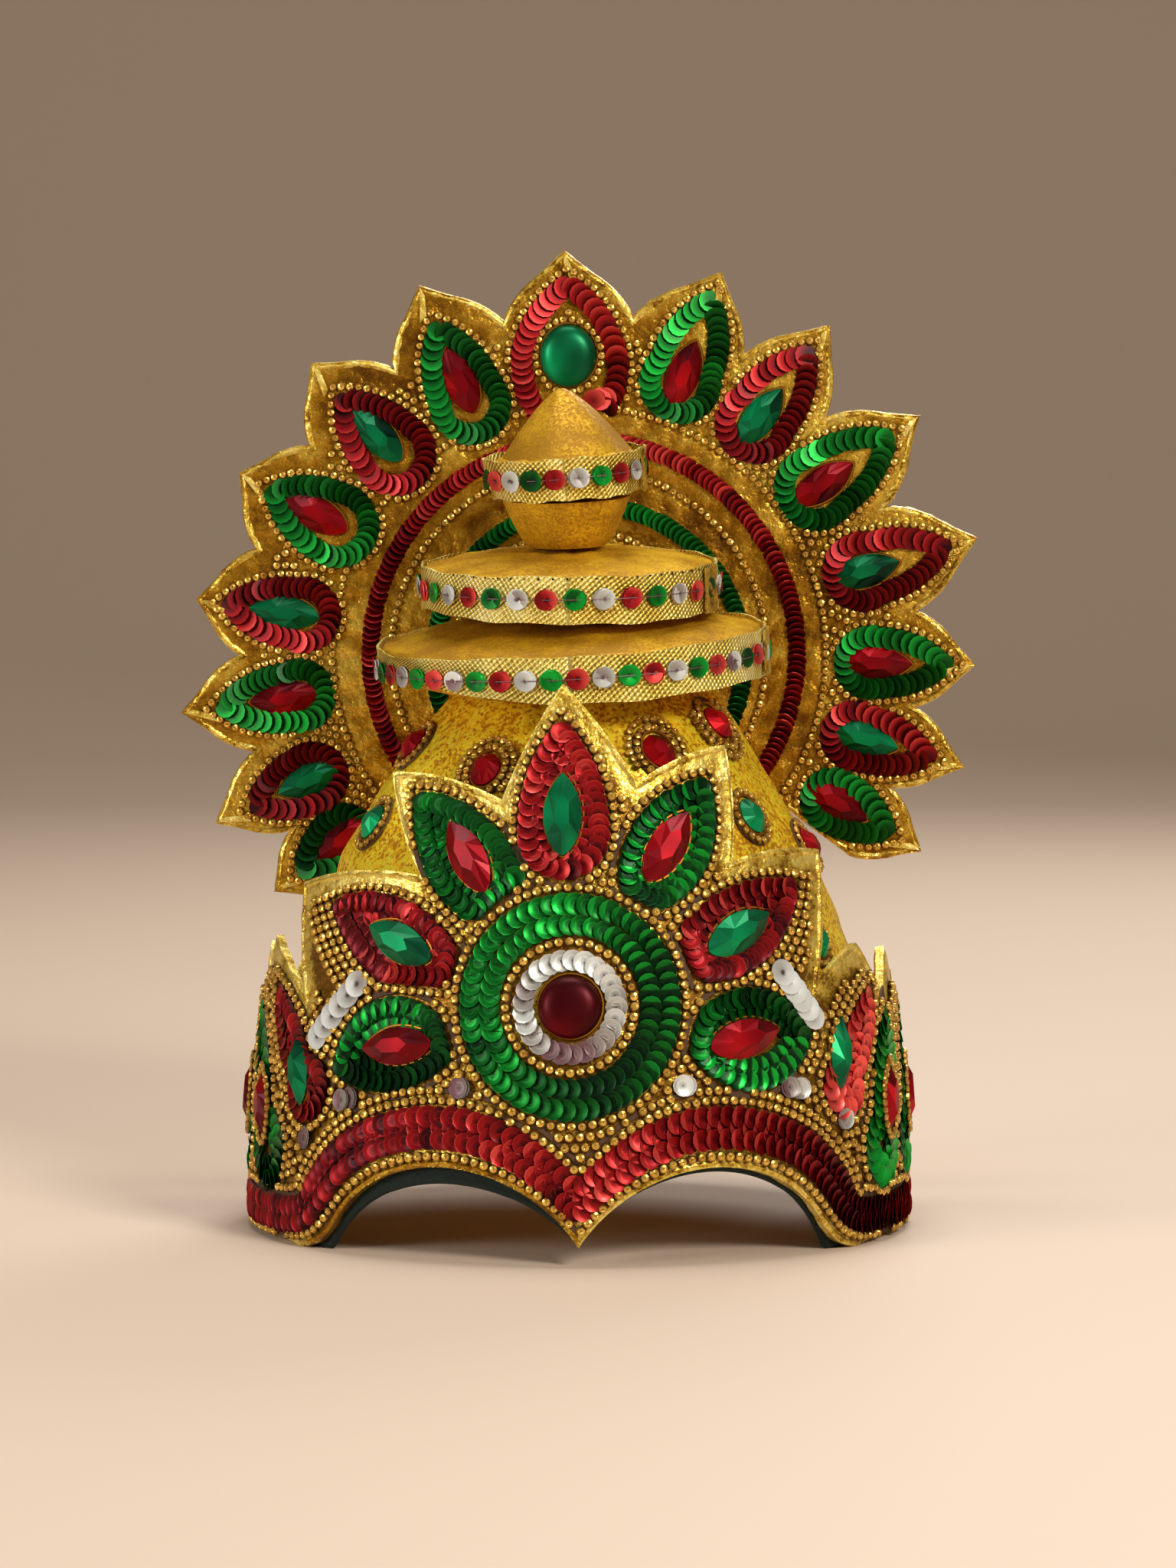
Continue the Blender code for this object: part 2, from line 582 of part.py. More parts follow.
def seat_on_surface(stone, surface, angle, height, turn):
    """Lays a stone on a surface given as a function of angle and height."""
    right = surface(angle + 1, height) - surface(angle - 1, height)
    up = surface(angle, height + 0.001) - surface(angle, height - 0.001)
    seat(stone, surface(angle, height), right, up, turn)


def on_cap(angle, height):
    return bent_to_tower(on_cylinder(angle, cap_radius(height), height))


def make_shield_stones(folder, finishes):
    for row in SHIELD_STONES:
        points = (ROUND, ROUND) if row.size is ROSETTE_STONE else (POINTED, BLUNT)
        stone = cut_stone("stone_" + row.name, row.size, points, folder, finishes[row.colour])
        seat_on_surface(stone, on_shield, row.angle, row.height * SHIELD_HEIGHT, row.turn)


def make_cap_stones(folder, finishes):
    for row in CAP_STONES:
        stone = cut_stone("cap_stone_" + row.name, CAP_STONE, (BLUNT, ROUND), folder, finishes[row.colour])
        seat_on_surface(stone, on_cap, row.angle, row.height * CAP_HEIGHT, row.turn)


def make_halo_stones(folder, finishes):
    right, up = Vector((1, 0, 0)), Vector((0, 0, 1))
    for number, petal in enumerate(HALO_PETALS):
        middle = number == HALO_MIDDLE
        red = (number - HALO_MIDDLE) % 2
        size, points = (HALO_TOP_STONE, (ROUND, ROUND)) if middle else (HALO_STONE, (POINTED, BLUNT))
        finish = finishes["red" if red else "green"]
        stone = cut_stone(f"halo_stone_{number + 1:02d}", size, points, folder, finish)
        x, z = on_halo(petal.turn, HALO_STONE_SHARE * HALO_TIP_RADIUS)
        seat(stone, Vector((x, halo_front(), HALO_CENTRE_HEIGHT + z)), right, up, petal.turn)


def hang_on_axis(folders):
    """Hangs every piece on an empty, which sets the cap's axis back from the middle of the crown's depth."""
    axis = bpy.data.objects.new("cap_axis", None)
    folders[0].objects.link(axis)
    axis.location.y = (SHIELD_RADIUS - cap_radius(CAP_RIM_HEIGHT)) / 2
    for folder in folders:
        for piece in folder.objects:
            if piece is not axis:
                piece.parent = axis


def main():
    for old in list(bpy.data.objects):
        bpy.data.objects.remove(old)
    crown = bpy.data.collections.new("dance_crown")
    cutters = bpy.data.collections.new("cutters")
    for folder in (crown, cutters):
        bpy.context.scene.collection.children.link(folder)
    finishes = make_materials()
    make_cap(crown, finishes)
    make_shield(crown, finishes)
    make_tower(crown, finishes)
    make_halo(crown, cutters, finishes)
    make_shield_stones(crown, finishes)
    make_cap_stones(crown, finishes)
    make_halo_stones(crown, finishes)
    hang_on_axis([crown, cutters])


main()
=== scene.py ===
"""The looks of a dance crown: gold cloth over card, cut stones, and rows of beads and sequins sewn on it.

Metres, +Z up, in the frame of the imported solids. The crown faces -Y and stands on Z = 0. Tables that say so
are in millimetres. Left and right are those of someone who looks at the crown's front."""

import json
import math

import bmesh
import bpy
import mathutils
import numpy as np
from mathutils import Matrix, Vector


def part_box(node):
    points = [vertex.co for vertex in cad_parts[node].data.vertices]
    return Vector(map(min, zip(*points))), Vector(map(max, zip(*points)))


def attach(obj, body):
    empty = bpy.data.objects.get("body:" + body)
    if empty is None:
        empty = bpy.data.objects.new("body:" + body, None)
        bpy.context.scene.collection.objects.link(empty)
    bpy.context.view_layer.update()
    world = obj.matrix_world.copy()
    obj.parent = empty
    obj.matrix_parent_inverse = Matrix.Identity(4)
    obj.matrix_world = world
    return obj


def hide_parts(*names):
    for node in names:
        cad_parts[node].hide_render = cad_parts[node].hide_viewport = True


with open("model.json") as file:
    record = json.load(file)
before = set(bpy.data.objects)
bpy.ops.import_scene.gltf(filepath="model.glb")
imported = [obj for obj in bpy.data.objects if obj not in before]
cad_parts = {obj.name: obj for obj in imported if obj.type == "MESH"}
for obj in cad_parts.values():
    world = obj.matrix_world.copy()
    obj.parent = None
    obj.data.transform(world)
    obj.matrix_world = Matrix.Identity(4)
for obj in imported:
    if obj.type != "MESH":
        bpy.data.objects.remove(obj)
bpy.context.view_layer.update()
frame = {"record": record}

SLOT_OF = {row["node"]: row["material_slot"] for row in frame["record"]["subparts"]}
MM = 0.001

# Sizes shared with the solids
SHIELD_RADIUS, SHIELD_HEIGHT, SHIELD_WALL = 0.097, 0.1645, 0.0025
SHIELD_PLUMB_HEIGHT, FRONT_LEAN, SIDE_LEAN, LEAN_POWER = 0.020, 0.031, 0.0175, 1.4
FRONT_ANGLE, SIDE_ANGLE, SHIELD_END_ANGLE = 30, 75, 120
HEM_POINT_RISE, ARCH_RISE, ARCH_FOOT_ANGLE, FOOT_ROUNDING = 0.0055, 0.0247, 50, 0.012
LINING_WALL, LINING_SHOWS, LINING_ANGLE = 0.003, 0.0045, 66
PETAL_BULGE = 0.05
SEAM_GAP = 0.0003
CAP_HEIGHT, CAP_RIM_HEIGHT, CAP_SEWN_HEIGHT, CAP_BEND_START = 0.161, 0.036, 0.064, 0.120
CAP_WALL, CAP_CLEARANCE = 0.0025, 0.0005
TOWER_X, TOWER_Y, TOWER_TILT = -0.0015, 0.0025, 3.5
LARGE_ROLL, LARGE_RADIUS, LARGE_EDGE, LARGE_DOME = 3.1, 0.0583, 0.0139, 0.0068
MEDIUM_ROLL, MEDIUM_RADIUS, MEDIUM_EDGE, MEDIUM_DOME = 0.8, 0.0445, 0.0140, 0.0041
FINIAL_ROLL, FINIAL_RADIUS, FINIAL_EDGE = 4.6, 0.0248, 0.0126
PAD_ROUNDING, DOME_POWER = 0.0022, 3
BULB_ROLL, BULB_FOOT_RADIUS, BULB_TOP_RADIUS, BULB_HEIGHT = 2.0, 0.0115, 0.0192, 0.0143
CONE_RADIUS, CONE_HEIGHT = 0.0196, 0.0198
HALO_CENTRE_HEIGHT, HALO_WALL, HALO_CUT_CLEARANCE = 0.166, 0.003, 0.0004
HALO_TIP_RADIUS, HALO_VALLEY_RADIUS, HALO_HEM_RADIUS = 0.123, 0.104, 0.080
HALO_STONE_RADIUS = 0.74 * HALO_TIP_RADIUS
AXIS_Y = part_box("front_shield")[0].y + SHIELD_RADIUS
HALO_FRONT_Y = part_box("halo")[0].y

# The shield's upper edge: degrees from the front, and shares of SHIELD_HEIGHT
SHIELD_EDGE = (
    (120, 0.35), (112, 0.46), (104, 0.38), (98, 0.49), (90, 0.40), (81, 0.51), (73, 0.41), (64, 0.53),
    (50, 0.465), (56, 0.70), (33.5, 0.69), (36, 0.89), (13, 0.83), (-3.9, 1.0), (-17, 0.80), (-45, 0.84),
    (-34, 0.665), (-66, 0.635), (-60, 0.43), (-79, 0.53), (-84, 0.41), (-90, 0.51), (-96, 0.39),
    (-103, 0.48), (-109, 0.37), (-114, 0.45), (-120, 0.35),
)

# The halo's petals from the lowest on the left round to the lowest on the right: degrees clockwise from up,
# and reach as a share of HALO_TIP_RADIUS
HALO_PETALS = (
    (-128, 0.965), (-115, 1.0), (-98.5, 1.0), (-82, 0.96), (-62, 0.955), (-42.7, 0.98), (-23.5, 0.995),
    (-2.1, 1.0), (20.4, 1.01), (37.3, 1.025), (55, 1.03), (73.8, 1.03), (91.7, 0.985), (106.5, 1.0),
    (120, 0.985),
)
HALO_MIDDLE = len(HALO_PETALS) // 2

# The cap above its seam: shares of CAP_HEIGHT and of SHIELD_RADIUS
CAP_SECTIONS = ((1.0, 0.392), (0.925, 0.485), (0.807, 0.619), (0.683, 0.737), (0.547, 0.814))


# Camera, lights and floor

CAMERA_LENS = 154.93  # millimetres
CAMERA_PLACE = (0.0027, -2.0 + AXIS_Y, 0.281)
CAMERA_PITCH = 4.3  # degrees down
LIGHTS_AIM = (0, 0, 0.15)
FLOOR_FRONT, FLOOR_DEPTH, FLOOR_CURVE, FLOOR_SIDE, BACKDROP_HEIGHT = -5, 1.6, 1.2, 6, 6


def set_camera():
    lens = bpy.data.cameras.new("camera")
    lens.lens, lens.sensor_width, lens.sensor_fit = CAMERA_LENS, 36, "AUTO"
    lens.clip_start, lens.clip_end = 0.05, 30
    camera = bpy.data.objects.new("camera", lens)
    camera.location = CAMERA_PLACE
    camera.rotation_euler = (math.radians(90 - CAMERA_PITCH), 0, 0)
    bpy.context.scene.collection.objects.link(camera)
    bpy.context.scene.camera = camera


def soft_light(name, place, size, power, colour=(1, 1, 1)):
    """A square light that faces the crown."""
    light = bpy.data.lights.new(name, "AREA")
    light.shape, light.size, light.energy, light.color = "SQUARE", size, power, colour
    lamp = bpy.data.objects.new(name, light)
    lamp.location = place
    direction = np.array(LIGHTS_AIM, float) - np.array(place, float)
    lamp.rotation_euler = (math.atan2(math.hypot(*direction[:2]), -direction[2]), 0,
                           math.atan2(direction[1], direction[0]) - math.pi / 2)
    bpy.context.scene.collection.objects.link(lamp)


def set_lights():
    soft_light("key_light", (0.72, -1.1, 0.95), 0.40, 16, (1.0, 0.96, 0.90))
    soft_light("side_light", (-1.1, -0.8, 0.45), 0.5, 8)
    soft_light("top_light", (0.0, 0.1, 1.3), 0.6, 9)
    soft_light("back_light", (0.4, 1.2, 0.9), 0.6, 8)
    world = bpy.data.worlds.new("studio")
    world.use_nodes = True
    backdrop = world.node_tree.nodes["Background"]
    backdrop.inputs["Color"].default_value = (0.80, 0.72, 0.62, 1)
    backdrop.inputs["Strength"].default_value = 0.26
    bpy.context.scene.world = world
    bpy.context.scene.view_settings.view_transform = "Standard"


def make_floor():
    """A pale floor that sweeps up to a backdrop."""
    curve = [(FLOOR_DEPTH + FLOOR_CURVE * math.sin(t), FLOOR_CURVE - FLOOR_CURVE * math.cos(t))
             for t in np.linspace(0, math.pi / 2, 12)]
    profile = [(FLOOR_FRONT, 0), *curve, (FLOOR_DEPTH + FLOOR_CURVE, BACKDROP_HEIGHT)]
    points = [(x, y, z) for y, z in profile for x in (-FLOOR_SIDE, FLOOR_SIDE)]
    faces = [(2 * i, 2 * i + 1, 2 * i + 3, 2 * i + 2) for i in range(len(profile) - 1)]
    mesh = bpy.data.meshes.new("floor")
    mesh.from_pydata(points, [], faces)
    mesh.shade_smooth()
    mesh.materials.append(Finish("pale_floor", Base_Color=(0.64, 0.50, 0.38, 1), Roughness=0.7).material)
    add_piece("floor", mesh)


# Node trees

class Wire:
    """A socket of a node tree. An expression on wires adds Math nodes to its tree."""

    def __init__(self, graph, socket):
        self.graph, self.socket = graph, socket

    def math(self, operation, *values):
        return self.graph.node("ShaderNodeMath", {"operation": operation}, *values)

    def __add__(self, other):
        return self.math("ADD", self, other)

    def __sub__(self, other):
        return self.math("SUBTRACT", self, other)

    def __rsub__(self, other):
        return self.math("SUBTRACT", other, self)

    def __mul__(self, other):
        return self.math("MULTIPLY", self, other)

    def __truediv__(self, other):
        return self.math("DIVIDE", self, other)

    def __pow__(self, other):
        return self.math("POWER", self, other)

    def clamped(self):
        return self.graph.node("ShaderNodeClamp", None, self)

    __radd__, __rmul__ = __add__, __mul__


class Graph:
    """A node tree with one way of adding nodes."""

    def __init__(self, tree):
        self.tree = tree

    def feed(self, socket, value):
        if isinstance(value, Wire):
            self.tree.links.new(value.socket, socket)
        elif value is not None:
            socket.default_value = value

    def node(self, kind, settings=None, *values, output=0, **named):
        """Adds a node: its settings first, then its sockets in order or by name."""
        made = self.tree.nodes.new(kind)
        for key, value in (settings or {}).items():
            if key == "stops":
                self.set_stops(made.color_ramp, value)
            else:
                setattr(made, key, value)
        for socket, value in zip(made.inputs, values):
            self.feed(socket, value)
        for name, value in named.items():
            self.feed(made.inputs[name.replace("_", " ")], value)
        return Wire(self, made.outputs[output])

    @staticmethod
    def set_stops(ramp, stops):
        while len(ramp.elements) < len(stops):
            ramp.elements.new(0.5)
        for element, (place, colour) in zip(ramp.elements, stops):
            element.position, element.color = place, (*colour, 1)


class Finish(Graph):
    """A material around one Principled shader."""

    def __init__(self, name, **uniform):
        self.material = bpy.data.materials.new(name)
        self.material.use_nodes = True
        super().__init__(self.material.node_tree)
        self.shader = self.tree.nodes["Principled BSDF"]
        self.set(**uniform)

    def set(self, **sockets):
        for name, value in sockets.items():
            self.feed(self.shader.inputs[name.replace("_", " ")], value)

    def place(self):
        """Object coordinates, in metres."""
        return self.node("ShaderNodeTexCoord", output="Object")

    def flat_place(self, turn):
        """The cloth's own flat coordinates, in metres, turned by degrees."""
        flat = self.node("ShaderNodeUVMap", {"uv_map": "flat"})
        return self.node("ShaderNodeMapping", Vector=flat, Rotation=(0, 0, math.radians(turn)))

    def attribute(self, name):
        return self.node("ShaderNodeAttribute", {"attribute_name": name}, output="Fac")

    def noise(self, vector, scale, detail=2.0, roughness=0.5):
        return self.node("ShaderNodeTexNoise", Vector=vector, Scale=scale, Detail=detail, Roughness=roughness)

    def cells(self, vector, scale):
        """A random value for each cell of a grid of uneven cells."""
        colour = self.node("ShaderNodeTexVoronoi", Vector=vector, Scale=scale, output="Color")
        return self.node("ShaderNodeSeparateColor", None, colour)

    def waves(self, vector, scale):
        return self.node("ShaderNodeTexWave", Vector=vector, Scale=scale, Distortion=0.0, output="Fac")

    def ramp(self, value, *stops):
        return self.node("ShaderNodeValToRGB", {"stops": stops}, value)

    def mix(self, factor, first, second):
        """Two colours in a share of a third value: the first one at 0, the second one at 1."""
        made = self.tree.nodes.new("ShaderNodeMix")
        made.data_type = "RGBA"
        for number, value in ((0, factor), (6, first), (7, second)):
            self.feed(made.inputs[number], (*value, 1) if isinstance(value, tuple) else value)
        return Wire(self, made.outputs[2])

    def steps(self, value, low, high):
        """0 below low, 1 above high, and even between."""
        return self.node("ShaderNodeMapRange", None, value, low, high, 0.0, 1.0)

    def bumps(self, height, distance, strength, under=None):
        return self.node("ShaderNodeBump", Height=height, Distance=distance, Strength=strength, Normal=under)


# Finishes

def gold_cloth(name, golds, grain, slub, glitter, roughness, relief, metallic=0.88):
    """Metallised cloth. Slubs and grains, with sizes in metres, mix its shaded, middle and bright gold."""
    finish = Finish(name, Metallic=metallic)
    here = finish.place()
    # The creases and patches mix the cloth's own mottle with painted shade in its creases and painted
    # highlight on its folds; the grains give its own grain and painted glints.
    creases = finish.noise(here, 1 / slub, 4.0, 0.6)
    patches = finish.noise(here, 0.22 / slub)
    grains = finish.cells(here, 1 / grain)
    # Painted highlight along a cloth's edge (hem), and painted shade where a mesh asks for it (shade).
    edges = 0.2 * finish.attribute("hem") - 0.6 * finish.attribute("shade")
    tone = creases * 1.8 + patches * 1.4 + (grains - 0.5) * glitter + edges - 1.1
    shaded, middle, bright = golds
    finish.set(Base_Color=finish.ramp(tone.clamped(), (0.08, shaded), (0.5, middle), (0.95, bright)))
    finish.set(Roughness=(roughness + 0.3 * (0.5 - grains)).clamped())
    fine = finish.bumps(grains, grain * 0.35, 0.8)
    finish.set(Normal=finish.bumps(creases, slub * relief, 0.9, fine))
    return finish.material


def braid():
    """Metal ribbon woven in a twill, crumpled here and there."""
    finish = Finish("gold_braid_ribbon", Metallic=0.8)
    flat = finish.flat_place(0)
    ribs, picks = finish.waves(finish.flat_place(52), 250), finish.waves(finish.flat_place(-30), 230)
    patches, wide = finish.noise(flat, 90, 4.0, 0.6), finish.noise(flat, 22)
    # The crumpled patches give painted shade and painted highlight; ribs and picks are the ribbon's own
    # weave.
    tone = (ribs * 0.55 + picks * 0.34 + patches * 1.3 + wide * 1.8 - 1.48).clamped()
    dark, middle, bright = (0.32, 0.18, 0.01), (0.82, 0.64, 0.12), (1.0, 0.94, 0.46)
    finish.set(Base_Color=finish.ramp(tone, (0.0, dark), (0.5, middle), (1.0, bright)))
    finish.set(Roughness=0.28 + 0.3 * patches)
    finish.set(Normal=finish.bumps(ribs + picks * 0.6, 0.0003, 0.9, finish.bumps(patches, 0.0022, 0.7)))
    return finish.material


def foil_sequin(name, dark, middle, bright, metallic=0.7):
    """Metallised plastic, with painted highlight on each cup's lifted side and rim, and painted shadow under
    the next one of a gaping row.
    """
    finish = Finish(name, Metallic=metallic, Coat_Weight=0.05, Coat_Roughness=0.2, Specular_IOR_Level=0.25)
    tone, across, spot, rim, gap = (finish.attribute(x) for x in ("tone", "across", "spot", "rim", "gap"))
    painted_shadow = gap * finish.steps(across, 0.52, 0.34)
    # The tone, given row by row, is the sequins' own random spread and painted light and shade.
    value = (tone + 0.22 * across + 0.20 * rim - 0.10).clamped() * (1 - 0.9 * painted_shadow)
    colour = finish.ramp(value, (0.0, dark), (0.45, middle), (0.95, bright))
    finish.set(Base_Color=finish.mix(spot, colour, tuple(c * 0.15 for c in dark)))
    finish.set(Roughness=0.34 + 0.16 * (1 - tone))
    return finish.material


def metal_bead(name, dark, light):
    """A metallised bead, dark in its hole, and round its foot with painted shade and dark thread between
    beads.
    """
    finish = Finish(name, Metallic=0.85)
    tone, spot = finish.attribute("tone"), finish.attribute("spot")
    finish.set(Base_Color=finish.mix(spot, finish.mix(tone, dark, light), tuple(c * 0.12 for c in dark)))
    finish.set(Roughness=0.22 + 0.2 * (1 - tone))
    return finish.material


def foil_stone(name, dark, middle, bright, coat=0.06):
    """Coloured acrylic over foil: each facet gives back another part of the foil, and the stones are painted
    lighter towards one side.
    """
    finish = Finish(name, Metallic=0.6, Roughness=0.4, Specular_IOR_Level=0.2)
    finish.set(Coat_Weight=coat, Coat_Roughness=0.15)
    depth = finish.noise(finish.place(), 90, 1.0)
    value = (finish.attribute("tone") * 0.9 + depth * 0.8 - 0.35).clamped()
    finish.set(Base_Color=finish.ramp(value, (0.0, dark), (0.5, middle), (1.0, bright)))
    return finish.material


def matt_cloth(name, colour, roughness):
    """Cloth or thread with a fine mottle."""
    grain = 0.0008
    finish = Finish(name, Metallic=0.0)
    mottle = finish.noise(finish.place(), 1 / grain)
    finish.set(Base_Color=finish.mix(mottle, tuple(c * 0.55 for c in colour), colour))
    finish.set(Roughness=roughness * (0.8 + 0.4 * mottle))
    finish.set(Normal=finish.bumps(mottle, grain * 0.3, 0.6))
    return finish.material


def make_finishes():
    """The finish of each material slot. Colours run from the dark one to the bright one."""
    knit = (0.50, 0.20, 0.001), (1.0, 0.60, 0.004), (1.0, 0.81, 0.04)
    tissue = (0.20, 0.085, 0.004), (0.68, 0.45, 0.05), (0.95, 0.76, 0.22)
    satin = (0.15, 0.055, 0.002), (0.44, 0.21, 0.010), (0.82, 0.54, 0.07)
    lame = (0.38, 0.18, 0.002), (0.62, 0.33, 0.005), (0.85, 0.55, 0.02)
    red_foil = (0.03, 0.0, 0.002), (0.34, 0.006, 0.008), (0.95, 0.11, 0.09)
    green_foil = (0.0, 0.015, 0.003), (0.002, 0.12, 0.010), (0.006, 0.42, 0.04)
    silver_foil = (0.17, 0.08, 0.09), (0.34, 0.32, 0.28), (0.74, 0.76, 0.72)
    red_glass = (0.045, 0.0, 0.002), (0.23, 0.0, 0.004), (0.60, 0.004, 0.008)
    green_glass = (0.0, 0.022, 0.010), (0.0, 0.15, 0.05), (0.0, 0.42, 0.13)
    maroon_glass = (0.02, 0.0, 0.001), (0.07, 0.0, 0.002), (0.24, 0.0, 0.005)
    return {
        "gold_mesh": gold_cloth("glitter_knit", knit, grain=0.0009, slub=0.009, glitter=1.35,
                                roughness=0.42, relief=0.12, metallic=0.45),
        "gold_tissue": gold_cloth("gold_tissue", tissue, grain=0.0007, slub=0.0045, glitter=0.5,
                                  roughness=0.42, relief=0.2, metallic=0.8),
        "gold_satin": gold_cloth("gold_satin", satin, grain=0.0006, slub=0.008, glitter=0.22,
                                 roughness=0.36, relief=0.2),
        "gold_lame": gold_cloth("glitter_lame", lame, grain=0.0006, slub=0.016, glitter=0.6,
                                roughness=0.58, relief=0.05, metallic=0.5),
        "gold_braid": braid(),
        "green_lining": matt_cloth("padded_lining", (0.002, 0.012, 0.007), 0.9),
        "dark_thread": matt_cloth("dark_thread", (0.10, 0.04, 0.008), 0.7),
        "gold_bead": metal_bead("gold_bead", (0.34, 0.13, 0.008), (1.0, 0.64, 0.13)),
        "dark_bead": metal_bead("dark_bead", (0.02, 0.01, 0.005), (0.12, 0.06, 0.03)),
        "red_sequin": foil_sequin("red_sequin", *red_foil),
        "green_sequin": foil_sequin("green_sequin", *green_foil),
        "silver_sequin": foil_sequin("silver_sequin", *silver_foil, metallic=0.4),
        "red_stone": foil_stone("red_stone", *red_glass),
        "green_stone": foil_stone("green_stone", *green_glass),
        "maroon_stone": foil_stone("maroon_stone", *maroon_glass, coat=0.02),
    }


# Meshes

SMOOTH_ANGLE = 40  # degrees: faces that meet at less look as one
SOFT_ANGLE, CRISP_ANGLE, FACET_ANGLE = 50, 20, 8  # the same for cloth and domes, thin discs, and cut stones


def unit(vectors):
    return vectors / np.maximum(np.linalg.norm(vectors, axis=-1, keepdims=True), 1e-12)


def add_piece(name, mesh):
    made = bpy.data.objects.new(name, mesh)
    bpy.context.scene.collection.objects.link(made)
    return made


def closed_mesh(name, points, faces, smooth_angle):
    """A mesh with its faces turned outwards."""
    mesh = bpy.data.meshes.new(name)
    mesh.from_pydata(np.asarray(points).tolist(), [], [list(map(int, face)) for face in faces])
    shape = bmesh.new()
    shape.from_mesh(mesh)
    bmesh.ops.recalc_face_normals(shape, faces=shape.faces)
    shape.to_mesh(mesh)
    shape.free()
    mesh.shade_smooth()
    mesh.set_sharp_from_angle(angle=math.radians(smooth_angle))
    return mesh


def ring_faces(rows, columns, closed_rows=False):
    """Quads between rings of as many points, and between the last and the first if the rows close."""
    row, column = np.meshgrid(np.arange(rows if closed_rows else rows - 1), np.arange(columns), indexing="ij")
    row, column = row.ravel(), column.ravel()
    below, beside = (row + 1) % rows, (column + 1) % columns
    corners = ((row, column), (row, beside), (below, beside), (below, column))
    return np.stack([some_row * columns + some_column for some_row, some_column in corners], axis=1)


def ring_mesh(name, rings, smooth_angle=SMOOTH_ANGLE, **values):
    """A closed body from rings (rows, columns, 3) that run from pole to pole, or round if they meet."""
    meets = np.allclose(rings[0], rings[-1])
    if meets:
        rings = rings[:-1]
    rows, columns = rings.shape[:2]
    faces = ring_faces(rows, columns, meets).tolist()
    if not meets:
        faces += [list(range(columns)), list(range((rows - 1) * columns, rows * columns))]
    mesh = closed_mesh(name, rings.reshape(-1, 3), faces, smooth_angle)
    set_flat_map(mesh, rings)
    for key, value in values.items():
        set_values(mesh, key, np.broadcast_to(value, (rows + meets, columns))[:rows].ravel())
    return mesh


def set_flat_map(mesh, rings):
    """A UV map in metres: along a ring, and down the rings."""
    steps = np.linalg.norm(np.roll(rings, -1, axis=1) - rings, axis=2)
    around = np.arange(rings.shape[1]) * steps.max(axis=0).mean()
    down = np.concatenate([[0], np.cumsum(np.linalg.norm(np.diff(rings, axis=0), axis=2).mean(axis=1))])
    flat = np.stack(np.broadcast_arrays(around[None, :], down[:, None]), axis=2).reshape(-1, 2)
    layer = mesh.uv_layers.new(name="flat")
    corners = np.empty(len(mesh.loops), int)
    mesh.loops.foreach_get("vertex_index", corners)
    layer.data.foreach_set("uv", flat[corners].astype(np.float32).ravel())


def set_values(mesh, name, values, domain="POINT"):
    """An attribute of numbers or of vectors, for the materials and for the sewing tree."""
    values = np.asarray(values, np.float32)
    kind = "FLOAT_VECTOR" if values.ndim == 2 else "FLOAT"
    attribute = mesh.attributes.new(name, kind, domain)
    attribute.data.foreach_set("vector" if values.ndim == 2 else "value", values.ravel())


def carried(points, outward, section, closed):
    """Vertices and faces of a section of (aside, out) pairs carried along points."""
    ahead = np.roll(points, -1, axis=0) - np.roll(points, 1, axis=0)
    if not closed:
        ahead[0], ahead[-1] = points[1] - points[0], points[-1] - points[-2]
    aside = unit(np.cross(ahead, outward))
    section = np.asarray(section)
    rings = points[:, None] + aside[:, None] * section[None, :, :1] + outward[:, None] * section[None, :, 1:]
    count = len(section)
    faces = ring_faces(len(points), count, closed).tolist()
    if not closed:
        faces += [list(range(count)), list(range((len(points) - 1) * count, len(points) * count))]
    return rings.reshape(-1, 3), faces


def joined(name, parts, smooth_angle=SMOOTH_ANGLE):
    """One mesh from several (points, faces) pairs."""
    points, faces, start = [], [], 0
    for some_points, some_faces in parts:
        points.append(some_points)
        faces += [[corner + start for corner in face] for face in some_faces]
        start += len(some_points)
    return closed_mesh(name, np.concatenate(points), faces, smooth_angle)


def round_section(radius, sides, flat=1.0):
    """A cord's section. Its height is a share of its width."""
    turn = np.arange(sides) * 2 * math.pi / sides
    return np.stack([radius * np.cos(turn), radius * flat * np.sin(turn)], axis=1)


def finish_piece(piece, slot, *nodes):
    """Gives a piece its finish and its body, and hides the solids it stands for."""
    piece.data.materials.clear()
    piece.data.materials.append(FINISHES[slot])
    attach(piece, "root")
    if nodes:
        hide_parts(*nodes)
    return piece


# Flat outlines

FINE_STEP = 0.0008  # between an outline's points
PETAL_STEP, STRAIGHT_STEP = 0.0018, 0.003  # the same on the cloths' edges


def arc(start, end, bulge, step=FINE_STEP):
    """Points from start to just before end, on an arc that bulges to the right by a share of its chord."""
    start, end = np.asarray(start, float), np.asarray(end, float)
    chord = end - start
    length = math.hypot(*chord)
    count = max(2, round(length / step))
    if abs(bulge) < 1e-6:
        return start + chord * (np.arange(count) / count)[:, None]
    rise = bulge * length
    radius = (length ** 2 / 4 + rise ** 2) / (2 * rise)
    along = chord / length
    side = np.array([along[1], -along[0]])
    centre = (start + end) / 2 - side * (radius - rise)
    half = math.asin(min(1.0, length / 2 / abs(radius)))
    if abs(bulge) > 0.5:
        half = math.pi - half
    turn = half * (2 * np.arange(count) / count - 1)
    return centre + side * radius * np.cos(turn)[:, None] + along * abs(radius) * np.sin(turn)[:, None]


def outline_of(nodes):
    """A closed outline from anticlockwise (x, y, bulge) rows. A bulge is that of the arc to the next row."""
    following = nodes[1:] + nodes[:1]
    return np.concatenate([arc(a[:2], b[:2], a[2]) for a, b in zip(nodes, following)])


